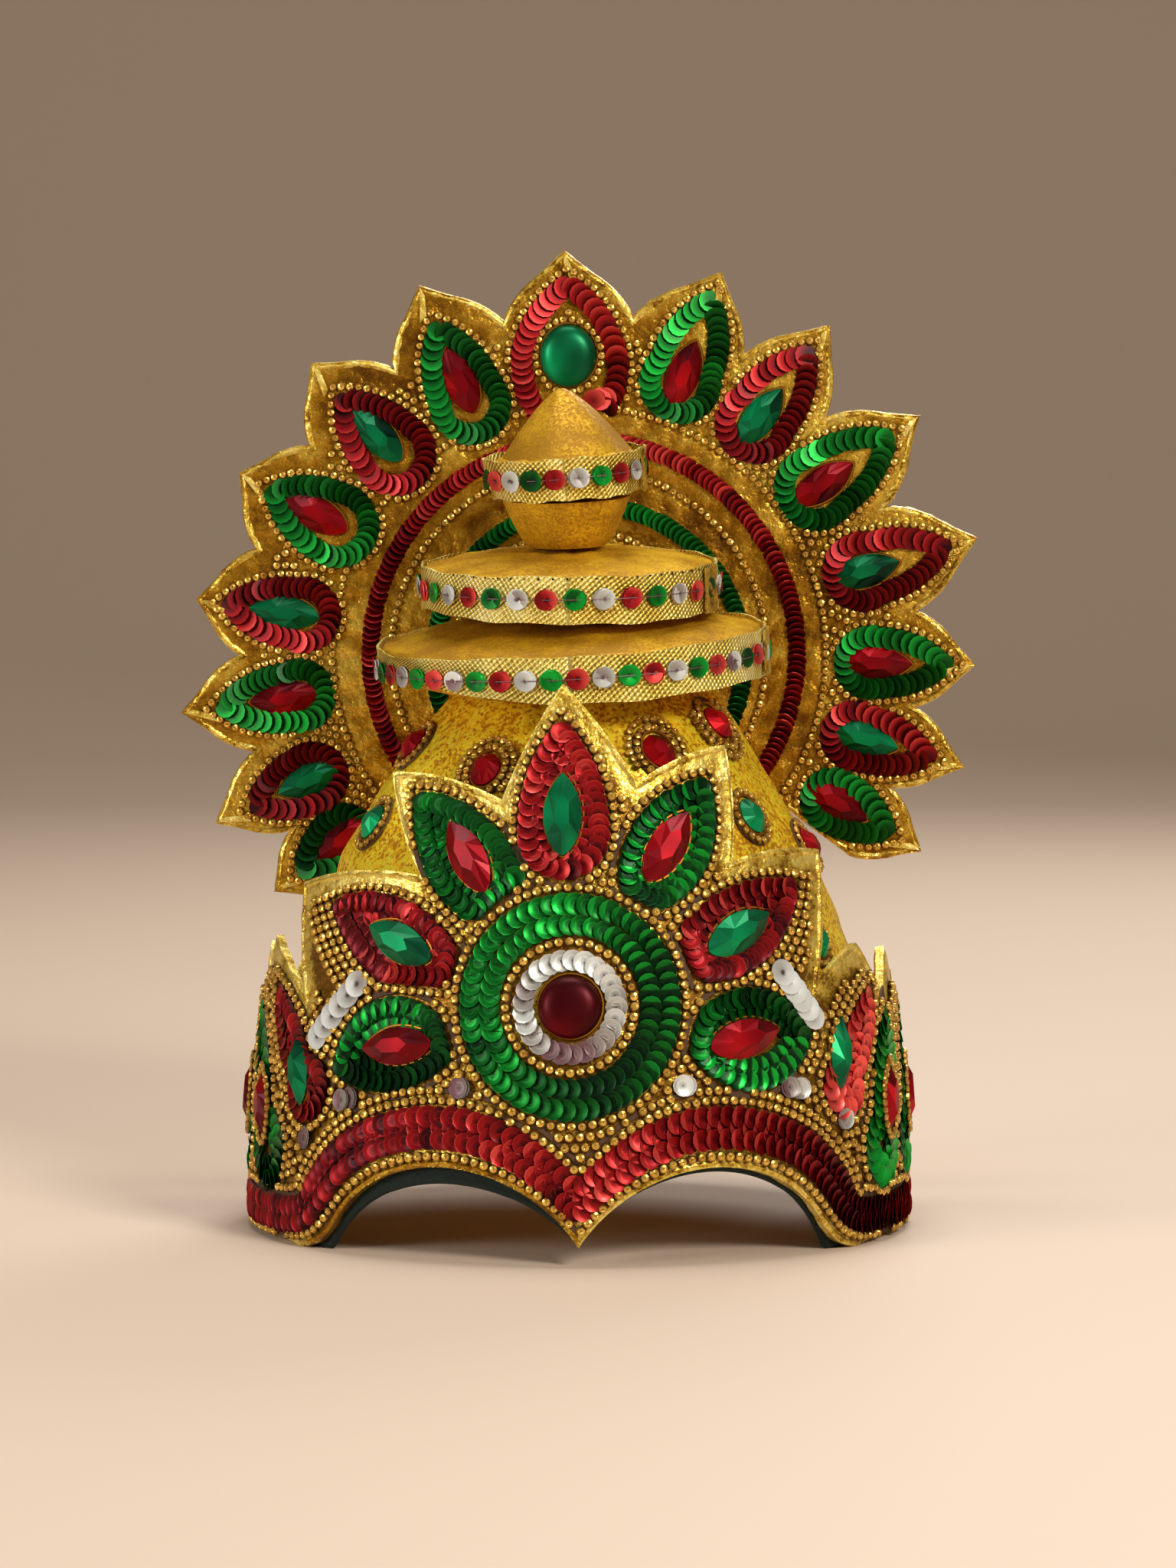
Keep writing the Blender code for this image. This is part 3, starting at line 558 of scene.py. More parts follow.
def leaf(tip, foot, width, shoulder, side_bulge):
    """A petal's outline: a sharp tip, and a round foot below shoulders at a share of its height."""
    tip, foot = np.asarray(tip, float), np.asarray(foot, float)
    up = unit(tip - foot)
    right = np.array([up[1], -up[0]])
    middle = foot + (tip - foot) * shoulder
    left, right = middle - right * width / 2, middle + right * width / 2
    bottom = math.dist(middle, foot) / width
    return outline_of([(*tip, side_bulge), (*left, bottom), (*right, side_bulge)])


def circle(centre, radius):
    """Points of a circle, anticlockwise from its right."""
    count = max(8, round(2 * math.pi * radius / FINE_STEP))
    turn = np.radians(360 * np.arange(count) / count)
    return np.stack([centre[0] + radius * np.cos(turn), centre[1] + radius * np.sin(turn)], axis=1)


def gap_to(points, line, closed=True):
    """Distance of each point to a polyline."""
    ends = np.roll(line, -1, axis=0) if closed else line[1:]
    starts = line if closed else line[:-1]
    way = ends - starts
    lengths = np.maximum((way ** 2).sum(1), 1e-18)
    gaps = []
    for some in np.array_split(points, len(points) // 300 + 1):
        share = ((some[:, None] - starts[None]) * way[None]).sum(2) / lengths[None]
        nearest = starts[None] + way[None] * np.clip(share, 0, 1)[..., None]
        gaps.append(np.linalg.norm(some[:, None] - nearest, axis=2).min(axis=1))
    return np.concatenate(gaps)


def within(points, outline):
    """Which points lie inside a closed outline."""
    start, end = outline, np.roll(outline, -1, axis=0)
    rise = end[:, 1] - start[:, 1]
    slope = (end[:, 0] - start[:, 0]) / np.where(rise == 0, 1, rise)
    x, y = points[:, :1], points[:, 1:]
    crossed = (start[:, 1] > y) != (end[:, 1] > y)
    return (crossed & (x < start[:, 0] + (y - start[:, 1]) * slope)).sum(axis=1) % 2 == 1


def moved_out(line, distance, closed=True):
    """A polyline moved to its right by one distance or one for each point, with sharp corners. Points that
    then lie nearer to the line are left out."""
    ahead = unit(np.roll(line, -1, axis=0) - line)
    back = np.roll(ahead, 1, axis=0)
    if not closed:
        ahead[-1], back[0] = ahead[-2], ahead[0]
    after, before = np.stack([ahead[:, 1], -ahead[:, 0]], 1), np.stack([back[:, 1], -back[:, 0]], 1)
    mitre = (after + before) / np.maximum(0.25, 1 + (after * before).sum(1, keepdims=True))
    reach = np.reshape(distance, (-1, 1))
    moved = line + mitre * reach
    return moved[gap_to(moved, line, closed) >= np.abs(reach[:, 0]) * 0.985 - 1e-6]


# Surfaces that pieces are sewn to. Angles are degrees round from the front, to the right

PROBE = 1e-4  # how far to each side a surface is felt for its directions


def smooth_step(share):
    return share * share * (3 - 2 * share)


def shield_radius(angle, height):
    up = np.clip((height - SHIELD_PLUMB_HEIGHT) / (SHIELD_HEIGHT - SHIELD_PLUMB_HEIGHT), 0, None)
    aside = smooth_step(np.clip((np.abs(angle) - FRONT_ANGLE) / (SIDE_ANGLE - FRONT_ANGLE), 0, 1))
    return SHIELD_RADIUS - (FRONT_LEAN + (SIDE_LEAN - FRONT_LEAN) * aside) * up ** LEAN_POWER


def cap_radius(height):
    """Outer radius of the cap, before it bends over to meet the large disc."""
    rows = [(s * CAP_HEIGHT, r * SHIELD_RADIUS) for s, r in CAP_SECTIONS][::-1]
    low = np.linspace(0, CAP_SEWN_HEIGHT, 9)
    heights = [*low, *(h for h, _ in rows)]
    radii = [*(shield_radius(0, low) - SHIELD_WALL - CAP_CLEARANCE), *(r for _, r in rows)]
    return np.interp(height, heights, radii)


def turn_matrix(roll):
    """A disc's lean: forwards as all of them do, and to one side as its own roll says."""
    r, t = -math.radians(roll), math.radians(TOWER_TILT)
    aside = np.array([[math.cos(r), 0, math.sin(r)], [0, 1, 0], [-math.sin(r), 0, math.cos(r)]])
    forward = np.array([[1, 0, 0], [0, math.cos(t), -math.sin(t)], [0, math.sin(t), math.cos(t)]])
    return aside @ forward


def bent_over(points):
    """Points of the straight cap, where the bend that carries the large disc puts them."""
    share = np.clip((points[..., 2] - CAP_BEND_START) / (CAP_HEIGHT - CAP_BEND_START), 0, None)
    normal = turn_matrix(LARGE_ROLL)[:, 2]
    across = normal[0] * (points[..., 0] - TOWER_X) + normal[1] * (points[..., 1] - AXIS_Y - TOWER_Y)
    points = points.copy()
    points[..., 2] -= across / normal[2] * share * share
    return points


def on_cylinder(angle, radius, height):
    turn = np.radians(angle)
    x, y = radius * np.sin(turn), AXIS_Y - radius * np.cos(turn)
    return np.stack(np.broadcast_arrays(x, y, height), axis=-1)


def on_shield(angle, height):
    return on_cylinder(angle, shield_radius(angle, height), height)


def on_cap(angle, height):
    return bent_over(on_cylinder(angle, cap_radius(height), height))


class Ground:
    """A surface as a function from flat (across, up) metres to places in space."""

    def __init__(self, place):
        self.place = place

    def outward(self, path):
        x, y = path.T
        right = self.place(x + PROBE, y) - self.place(x - PROBE, y)
        up = self.place(x, y + PROBE) - self.place(x, y - PROBE)
        return unit(np.cross(right, up))

    def at(self, path, out=0.0):
        """Places at a distance out from flat points."""
        return self.place(*path.T) + self.outward(path) * np.reshape(out, (-1, 1))


def shield_ground(angle):
    """The shield about one upright line, true to size near it."""
    return Ground(lambda x, y: on_shield(angle + np.degrees(x / shield_radius(angle, y)), y))


UNROLLED = Ground(lambda x, y: on_shield(np.degrees(x / SHIELD_RADIUS), y))  # the whole shield


def cap_ground(angle):
    """The cap about one upright line."""
    return Ground(lambda x, y: on_cap(angle + np.degrees(x / cap_radius(y)), y))


def halo_ground(turn=0.0):
    """The halo's front about its centre, with up turned clockwise."""
    s, c = math.sin(math.radians(turn)), math.cos(math.radians(turn))

    def place(x, y):
        high = HALO_CENTRE_HEIGHT - x * s + y * c
        return np.stack(np.broadcast_arrays(x * c + y * s, HALO_FRONT_Y, high), axis=-1)
    return Ground(place)


def band_ground(centre, matrix, radius):
    """A ribbon's outer face: across runs round it from the front, up from its middle."""
    def place(x, y):
        turn = x / radius
        local = np.stack(np.broadcast_arrays(radius * np.sin(turn), -radius * np.cos(turn), y), axis=-1)
        return centre + local @ matrix.T
    return Ground(place)


# Sewing

FULL_GAPE = 14  # degrees below 0, in the tables of leans, at which a row gapes fully, with its painted gap shadow darkest
ENDS_ONLY = 1.0  # a pitch so long that only the two ends of a path are sewn


def spaced(ground, path, pitch, closed):
    """Flat points along a path at a pitch, which may change on the way, with their directions and how far on
    they are. A pitch is measured on the ground."""
    line = np.vstack([path, path[:1]]) if closed else path
    steps = np.linalg.norm(np.diff(ground.place(*line.T), axis=0), axis=1)
    run = np.concatenate([[0], np.cumsum(steps)])
    pitches = np.interp(run / run[-1], np.linspace(0, 1, np.size(pitch)), np.atleast_1d(pitch))
    tally = np.concatenate([[0], np.cumsum(steps * 2 / (pitches[1:] + pitches[:-1]))])
    count = max(1, round(tally[-1]))
    marks = np.arange(count) / count if closed else np.linspace(0, 1, count + 1)
    marks = np.interp(marks * tally[-1], tally, run)

    def along(values):
        return np.stack([np.interp(values, run, line[:, i]) for i in (0, 1)], axis=1)
    nudge = 0.0004
    ahead = ground.place(*along(np.minimum(marks + nudge, run[-1])).T)
    behind = ground.place(*along(np.maximum(marks - nudge, 0)).T)
    return along(marks), unit(ahead - behind), marks / run[-1]


def gaping(leans):
    """Leans and painted gap shadows from one figure, in degrees: below 0 a row gapes and is painted darker
    under each next sequin.
    """
    leans = np.asarray(leans, float)
    return {"lean": np.where(leans < 0, 0.3 * leans, leans), "gap": np.clip(-leans / FULL_GAPE, 0, 1)}


class Sewing:
    """Where the copies of one shape are sewn on."""

    def __init__(self, random_seed, tone_spread=0.12):
        self.rows, self.random, self.tone_spread = [], np.random.default_rng(random_seed), tone_spread

    def places(self):
        return np.concatenate([row[0] for row in self.rows]) if self.rows else np.empty((0, 3))

    def row(self, ground, path, pitch, lift, tone, closed=True, clear_of=(), bounds=None, lean=0, gap=0):
        """Sews a row along a path, leaving out what comes too near to (places, distance) pairs."""
        if len(path) < 2:
            return
        flat, ahead, marks = spaced(ground, path, pitch, closed)
        places = ground.at(flat, lift)

        def along(values):
            return np.interp(marks, np.linspace(0, 1, np.size(values)), np.atleast_1d(values))
        tones = along(tone) + self.random.normal(0, self.tone_spread, len(marks))
        kept = np.ones(len(flat), bool)
        for others, distance in clear_of:
            if len(others):
                kept &= np.linalg.norm(places[:, None] - others[None], axis=2).min(axis=1) >= distance
        if bounds:
            kept &= bounds(places)
        if kept.any():
            given = (places, ground.outward(flat), ahead, tones, along(lean), along(gap))
            self.rows.append([values[kept] for values in given])

    def make(self, name, shape, slot, sway, spread, seed, lean=0.0):
        """One piece of all copies, set on their places by the sewing tree. They sway by up to so many
        degrees, and their sizes differ by up to the spread."""
        places, outward, ahead, tones, leans, gaps = (np.concatenate(values) for values in zip(*self.rows))
        mesh = bpy.data.meshes.new(name)
        mesh.from_pydata(places.tolist(), [], [])
        set_values(mesh, "outward", outward)
        set_values(mesh, "ahead", ahead)
        set_values(mesh, "tone", np.clip(tones, 0, 1))
        set_values(mesh, "lean", np.radians(leans + lean))
        set_values(mesh, "gap", np.clip(gaps, 0, 1))
        seats = add_piece(name + "_seats", mesh)
        tree, inputs = SEWING_TREE
        sewing = seats.modifiers.new("sewing", "NODES")
        sewing.node_group = tree
        settings = {"Shape": SHAPES[shape], "Sway": math.radians(sway), "Size Spread": spread, "Seed": seed,
                    "Finish": FINISHES[slot]}
        for label, value in settings.items():
            sewing[inputs[label]] = value
        bpy.context.view_layer.update()
        graph = bpy.context.evaluated_depsgraph_get()
        whole = bpy.data.meshes.new_from_object(seats.evaluated_get(graph))
        bpy.data.objects.remove(seats)
        return finish_piece(add_piece(name, whole), slot)


def make_sewing_tree():
    """Sets a shape on each point, its top along outward and its front along ahead."""
    tree = bpy.data.node_groups.new("sewn_on", "GeometryNodeTree")
    tree.is_modifier = True
    asked_for = {"Seats": "Geometry", "Shape": "Object", "Sway": "Float", "Size Spread": "Float",
                 "Seed": "Int", "Finish": "Material"}
    inputs = {}
    for label, kind in asked_for.items():
        socket = tree.interface.new_socket(label, in_out="INPUT", socket_type="NodeSocket" + kind)
        inputs[label] = socket.identifier
    tree.interface.new_socket("Sewn", in_out="OUTPUT", socket_type="NodeSocketGeometry")
    graph = Graph(tree)
    given = tree.nodes.new("NodeGroupInput")

    def asked(label):
        return Wire(graph, given.outputs[label])

    def named(name, kind="FLOAT_VECTOR"):
        return graph.node("GeometryNodeInputNamedAttribute", {"data_type": kind}, name)
    facing = graph.node("FunctionNodeAxesToRotation", {"primary_axis": "Z", "secondary_axis": "X"},
                        named("outward"), named("ahead"))
    sway = graph.node("FunctionNodeRandomValue", {"data_type": "FLOAT_VECTOR"}, (-1, -1, -1), (1, 1, 1),
                      Seed=asked("Seed"))
    swayed = graph.node("ShaderNodeVectorMath", {"operation": "SCALE"}, sway, Scale=asked("Sway"))
    leant = graph.node("ShaderNodeCombineXYZ", None, 0.0, named("lean", "FLOAT"), 0.0)
    tilt = graph.node("ShaderNodeVectorMath", {"operation": "ADD"}, swayed, leant)
    turned = graph.node("FunctionNodeRotateRotation", {"rotation_space": "LOCAL"}, facing,
                        graph.node("FunctionNodeEulerToRotation", None, tilt))
    size = graph.node("FunctionNodeRandomValue", {"data_type": "FLOAT"}, None, None, 1 - asked("Size Spread"),
                      1 + asked("Size Spread"), Seed=asked("Seed") + 7, output=1)
    shape = graph.node("GeometryNodeObjectInfo", None, asked("Shape"), output="Geometry")
    copies = graph.node("GeometryNodeInstanceOnPoints", Points=asked("Seats"), Instance=shape,
                        Rotation=turned, Scale=size)
    whole = graph.node("GeometryNodeRealizeInstances", None, copies)
    done = graph.node("GeometryNodeSetMaterial", Geometry=whole, Material=asked("Finish"))
    graph.feed(tree.nodes.new("NodeGroupOutput").inputs["Sewn"], done)
    return tree, inputs


def turned_shape(name, profile, sides, radius, smooth_angle=SMOOTH_ANGLE):
    """A small turned shape from its profile."""
    inner = profile[1:-1]
    turn = np.arange(sides) * 2 * math.pi / sides
    rings = np.array([[(r * math.cos(t), r * math.sin(t), z) for t in turn] for r, z, _ in inner])
    top, foot = (0, 0, profile[0][1]), (0, 0, profile[-1][1])
    points = np.concatenate([[top], rings.reshape(-1, 3), [foot]]) * radius
    faces = [[a + 1 for a in face] for face in ring_faces(len(inner), sides).tolist()]
    last = len(points) - 1
    faces += [[0, 1 + i, 1 + (i + 1) % sides] for i in range(sides)]
    faces += [[last, last - sides + i, last - sides + (i + 1) % sides] for i in range(sides)]
    mesh = closed_mesh(name, points, faces, smooth_angle)
    set_values(mesh, "spot", [profile[0][2], *np.repeat([row[2] for row in inner], sides), profile[-1][2]])
    set_values(mesh, "across", points[:, 0] / radius)
    set_values(mesh, "rim", np.hypot(points[:, 0], points[:, 1]) > 0.95 * radius)
    return add_piece(name, mesh)


# Profiles of beads and sequins from top to bottom: reach and height as shares of the radius, and how dark
# A bead's darkness below its middle is painted shade together with the dark thread between beads.
BEAD_PROFILE = (
    (0, 0.42, 1.0), (0.18, 0.48, 0.4), (0.36, 0.66, 0), (0.78, 0.52, 0.1), (1.0, 0, 0.7),
    (0.7, -0.55, 0.9), (0, -0.55, 1),
)
CUP_PROFILE = (
    (0, 0.03, 0.9), (0.15, 0.03, 0.3), (0.45, 0.04, 0), (0.90, 0.12, 0), (1.0, 0.17, 0),
    (0.98, 0.12, 0), (0, -0.02, 0),
)
FLAT_PROFILE = (
    (0, 0.04, 1.0), (0.14, 0.05, 0.8), (0.30, 0.10, 0), (0.97, 0.10, 0), (1.0, 0.06, 0),
    (0.97, 0, 0), (0, 0, 0),
)
DISC_PROFILE = ((0, 0.06, 0.5), (1.0, 0.04, 0), (1.0, -0.04, 0), (0, -0.06, 0))


# Shield

# HEM_SHADE_WIDTH: how far in from a cloth's edge its painted edge highlight, and the left arch's painted
# shade, reach
HEM_ROLL, HEM_SHADE_WIDTH = 0.0013, 0.006
CLOTH_CELL, HALO_CELL, LINING_CELL = 0.0026, 0.0022, 0.004  # sides of the triangles that take a cloth's folds


def unrolled(angle):
    """How far across the unrolled sheet an angle lies."""
    return math.radians(angle) * SHIELD_RADIUS


def arch_curve(rise, rounding):
    """Half of the hem on the unrolled sheet, from its middle point out to where it meets the surface."""
    foot, middle = np.array([unrolled(ARCH_FOOT_ANGLE), 0.0]), np.array([0.0, HEM_POINT_RISE])
    points = np.vstack([arc(foot, middle, rise / math.dist(foot, middle), PETAL_STEP), middle])[::-1]
    if not rounding:
        return points
    kept = points[np.linalg.norm(points - foot, axis=1) > rounding]
    last, start = foot + (rounding, 0), kept[-1]
    share = np.linspace(0.1, 1, 10)[:, None]
    corner = (start * (1 - share) + foot * share) * (1 - share) + (foot * (1 - share) + last * share) * share
    return np.vstack([kept, corner])


def mirrored(line):
    return line[::-1] * (-1, 1)


def shield_outline():
    """The unrolled sheet, anticlockwise from the hem's middle point."""
    hem = arch_curve(ARCH_RISE, FOOT_ROUNDING)
    nodes = [(unrolled(a), h * SHIELD_HEIGHT) for a, h in SHIELD_EDGE]
    edge = [arc(a, b, PETAL_BULGE, 0.002) for a, b in zip(nodes, nodes[1:])]
    end = unrolled(SHIELD_END_ANGLE)
    right, left = arc((end, 0), nodes[0], 0, STRAIGHT_STEP), arc(nodes[-1], (-end, 0), 0, STRAIGHT_STEP)
    return np.vstack([hem, right, *edge, left, [(-end, 0)], mirrored(hem[1:])])


def cloth_panel(name, outline, wall, cell, depth, ground, shade=None):
    """A flat outline filled with triangles, laid at depth(flat) on a ground and given a wall inwards."""
    low, high = outline.min(axis=0), outline.max(axis=0)
    columns, rows = np.meshgrid(np.arange(low[0], high[0], cell), np.arange(low[1], high[1], cell * 0.87))
    columns[::2] += cell / 2
    grid = np.stack([columns, rows], axis=2).reshape(-1, 2)
    grid = grid[within(grid, outline)]
    grid = grid[gap_to(grid, outline) > cell * 0.45]
    points = [mathutils.Vector(point) for point in np.vstack([outline, grid])]
    edges = [(i, (i + 1) % len(outline)) for i in range(len(outline))]
    flat, _, faces, *_ = mathutils.geometry.delaunay_2d_cdt(points, edges, [], 1, 1e-7)
    flat = np.array(flat)
    mesh = bpy.data.meshes.new(name)
    mesh.from_pydata(ground.at(flat, depth(flat)).tolist(), [], faces)
    layer = mesh.uv_layers.new(name="flat")
    layer.data.foreach_set("uv", np.array([flat[c.vertex_index] for c in mesh.loops], np.float32).ravel())
    from_edge = gap_to(flat, outline)
    # A painted highlight along the cloth's edge, and where asked for painted shade, for the gold finishes.
    set_values(mesh, "hem", np.clip(1 - from_edge / HEM_SHADE_WIDTH, 0, 1))
    if shade:
        set_values(mesh, "shade", shade(flat, from_edge))
    first = mesh.polygons[0]
    if first.normal @ mathutils.Vector(ground.outward(flat[first.vertices[0]][None])[0]) < 0:
        mesh.flip_normals()
    panel = add_piece(name, mesh)
    thickness = panel.modifiers.new("wall", "SOLIDIFY")
    thickness.thickness, thickness.offset = wall, -1
    bpy.context.view_layer.update()
    made = bpy.data.meshes.new_from_object(panel.evaluated_get(bpy.context.evaluated_depsgraph_get()))
    bpy.data.objects.remove(panel)
    made.shade_smooth()
    made.set_sharp_from_angle(angle=math.radians(SOFT_ANGLE))
    return made


def make_shield_cloth():
    """The shield's tissue and its rolled hem, which along the left arch takes the darker satin as painted
    shade.
    """
    outline = shield_outline()

    def depth(flat):
        return 0.00018 * np.sin(flat[:, 0] * 900 + 3 * np.sin(flat[:, 1] * 300)) - 0.0002

    def shade(flat, from_edge):
        """Painted shade on the cloth inside the outermost beads, where it lies between them, and along the
        left arch.
        """
        left_arch = (flat[:, 0] < 0) & (flat[:, 1] < 0.034) & (flat[:, 0] > -unrolled(56))
        inside = 0.85 * np.clip((from_edge - 0.005) / 0.002, 0, 1)
        return np.maximum(inside, np.clip(1 - from_edge / HEM_SHADE_WIDTH, 0, 1) * left_arch)
    cloth = cloth_panel("shield_cloth", outline, SHIELD_WALL - 0.0002, CLOTH_CELL, depth, UNROLLED, shade)
    finish_piece(add_piece("shield_cloth", cloth), "gold_tissue", "front_shield")
    edge = moved_out(outline, -HEM_ROLL)
    # The left arch, from 1 to 55 degrees left of the hem's middle
    left_arch = (np.abs(edge[:, 0] + unrolled(28)) < unrolled(27)) & (edge[:, 1] < 0.035)
    start = int(np.argmax(left_arch))
    # Along the left arch the roll is darker satin, as painted shade.
    for name, line, slot in (("shield_hem", edge[:start + 1], "gold_tissue"),
                             ("left_arch_hem", np.vstack([edge[start:], edge[:1]]), "gold_satin")):
        middle, section = UNROLLED.at(line, -SHIELD_WALL / 2), round_section(HEM_ROLL, 8, 1.05)
        roll = carried(middle, UNROLLED.outward(line), section, False)
        finish_piece(add_piece(name, joined(name, [roll])), slot)


def make_lining():
    """The padding behind the arches, with a soft lower edge. Less of it shows on the right."""
    right = arch_curve(ARCH_RISE - 0.3 * LINING_SHOWS, 0)
    left = arch_curve(ARCH_RISE - 1.1 * LINING_SHOWS, 0)
    side, top = unrolled(LINING_ANGLE), CAP_RIM_HEIGHT - SEAM_GAP
    corners = [right[-1], (side, 0), (side, top), (-side, top), (-side, 0), left[-1] * (-1, 1)]
    sides = [arc(a, b, 0, STRAIGHT_STEP) for a, b in zip(corners, corners[1:])]
    outline = np.vstack([right[:-1], *sides, mirrored(left[1:])])
    inset, half = SHIELD_WALL + SEAM_GAP, LINING_WALL / 2

    def depth(flat):
        return -inset - 0.0002 - 0.0002 * np.cos(flat[:, 0] * 500) * np.cos(flat[:, 1] * 500)
    inner = moved_out(outline, -half * 0.9)
    pad = cloth_panel("lining_pad", inner, LINING_WALL - 0.0006, LINING_CELL, depth, UNROLLED)
    piece = finish_piece(add_piece("lining_pad", pad), "green_lining", "front_lining")
    line = moved_out(outline, -half)
    roll = carried(UNROLLED.at(line, -inset - half), UNROLLED.outward(line), round_section(half, 8), True)
    finish_piece(add_piece("lining_edge", joined("lining_edge", [roll])), "green_lining")


# Petals on the shield, each from corner to corner, anticlockwise: degrees from the front and millimetres up,
# then the bulge of the side to the next corner, and the painted brightness (light and shade) and lean of the
# sequins along it
PETALS = (
    ("red", ((-4.1, 154.7, 0.10, 0.40, 4), (-12.8, 123.6, 0.60, 0.42, 0), (6.4, 125.2, 0.10, 0.35, 0))),
    ("green", ((-38.1, 133.1, 0.15, 0.42, 6), (-20.4, 95.5, -0.05, 0.85, 4), (-10.2, 108.4, 0.164, 0.25, 0))),
    ("green", ((29.8, 137.6, 0.20, 0.78, 2), (7.7, 106.9, 0.05, 0.25, 0), (16.2, 99.8, 0.20, 0.55, 0))),
    ("red", ((48.4, 107.1, 0.134, 0.58, 2), (18.9, 94.7, 0.0, 0.18, 0), (22.3, 79.9, 0.20, 0.16, 0))),
    ("green", ((46.2, 62.5, 0.26, 0.20, 0), (22.3, 71.9, 0.05, 0.50, 0), (19.9, 59.4, 0.30, 0.80, 0))),
    ("red", ((-55.2, 100.5, 0.08, 1.0, 13), (-39.6, 78.5, 0.0, 0.30, 0), (-24.8, 77.8, 0.0, 0.22, 0),
             (-23.2, 89.1, 0.17, 0.24, 9))),
    ("green", ((-48.3, 52.1, 0.18, 0.04, 0), (-22.5, 58.3, 0.03, 0.03, 0), (-26.1, 70.6, 0.31, 0.62, 6))),
)

# Leaves on the wings: tip and foot in degrees and millimetres up, width in millimetres, painted brightness of
# the left and right side, and how much the rows gape, which paints shadow under each next sequin
WINGS = (
    ("red", (67.5, 76), (50.2, 39.5), 13.5, 1.0, 0.75, 0.1),
    ("green", (73.5, 70), (63.8, 16), 16.5, 1.0, 0.9, 0.2),
    ("green", (90, 72), (80, 16), 15.5, 0.7, 0.7, 0.5),
    ("red", (108, 66), (99, 16), 15.0, 0.55, 0.45, 0.5),
    ("red", (-71.5, 76), (-51.5, 38.5), 13.0, 0.5, 0.15, 0.5),
    ("green", (-83, 72), (-66, 15), 16.0, 0.45, 0.45, 0.4),
    ("green", (-97, 70), (-86, 16), 15.0, 0.55, 0.60, 0.5),
    ("red", (-111, 64), (-102, 16), 15.0, 0.50, 0.50, 0.5),
)

ROSETTE = (-1.6, 73.5)  # its middle, in degrees and millimetres up
# Rings of sequins round it: radius and spacing in millimetres and colour, then from its right round
# anticlockwise their painted brightness (light and shade) and their lean, as gaping() takes it
ROSETTE_RINGS = (
    (13.2, 3.3, "silver", (0.72, 0.85, 0.97, 0.88, 0.60, 0.42, 0.50, 0.85, 0.22, 0.06, 0.12, 0.60, 0.72),
     (-2, 0, 0, 2, 0)),
    (23.1, 3.35, "green", (0.62, 0.62, 0.66, 0.62, 0.58, 0.50, 0.45, 0.42, 0.36, 0.10, 0.05, 0.10, 0.62),
     (-14, -14, -9, -3, 3, 5, 5, 3, 2, 0, 0, -8, -14)),
    (29.0, 3.4, "green", (0.62, 0.62, 0.64, 0.60, 0.55, 0.40, 0.34, 0.38, 0.48, 0.26, 0.16, 0.50, 0.62),
     (-14, -14, -9, -3, 3, 5, 5, 3, 2, 0, -4, -12, -14)),
)
ROSETTE_BEAD_RINGS, ROSETTE_EDGE = (18.4, 33.6), 32.2  # radii in millimetres
SEQUIN_LIFT, BEAD_LIFT, BEAD_PITCH = 0.7 * MM, 0.75 * MM, 2.95 * MM
# The under row and the upper row of sequins in a petal or leaf, in millimetres: how far inside its outline,
# and how far off the cloth
FIELD_ROWS = ((6.9, 0.3), (3.0, 0.75))
FIELD_PITCHES = (2.9 * MM, 3.7 * MM)  # on a dull side and on a bright one
SMALLEST_ROW = 0.006
# Rows of beads outside an outline, in millimetres: the one on thread, those that fill the cloth between, and
# how far these stay from the shield's edge
BEAD_OUTSET, FILL_OUTSETS, FILL_MARGIN = 1.45, (4.4, 7.3, 10.2), 6.5

# Rows of red sequins over the hem, in millimetres: how far above it, and how far off the cloth
HEM_ROWS = ((11.6, 0.3), (8.3, 0.9), (14.8, 0.7))
HEM_BEAD_ROWS = (3.5, 19.3, 22.2)
# Over the hem's right half and its left one, from its middle out: painted brightness (light and shade), lean,
# spacing in millimetres
HEM_SIDES = {
    1: ((0.50, 0.56, 0.50, 0.18, 0.02, 0.0, 0.0), (-4, -6, -9, -14, -14, -14, -14),
        (4.0, 4.0, 3.6, 2.7, 2.5, 2.5, 2.5)),
    -1: ((0.30, 0.38, 0.14, 0.10, 0.16, 0.55, 0.66), (-5, -4, 0, 0, -6, -12, -12),
         (3.6, 3.8, 3.8, 3.4, 2.9, 2.6, 2.6)),
}
# Wide silver discs along a petal's side: from and to in degrees and millimetres up, spaces, and painted
# brightness
SILVER_STRIPS = (
    ((-44.9, 77.4), (-53.8, 60.9), 5, (0.65, 0.5, 0.85)), ((41.0, 81.0), (47.3, 67.2), 5, (0.8, 0.95, 0.7)),
)
# Pairs of silver cups between the petals: degrees, millimetres up, and painted brightness
SILVER_SPOTS = (
    (18.7, 51.0, 0.85), (40.0, 48.6, 0.35), (42.2, 48.0, 0.7), (-21.0, 50.2, 0.15), (-43.5, 45.0, 0.2),
    (-45.6, 44.2, 0.4), (53.1, 37.7, 0.6), (-54.9, 31.9, 0.3),
)


def local_nodes(angle, corners):
    """Corners in degrees and millimetres, on the shield's flat sheet about an angle."""
    nodes = []
    for turn, height, *rest in corners:
        radius = float(shield_radius(angle, height * MM))
        nodes.append((math.radians(turn - angle) * radius, height * MM, *rest))
    return nodes


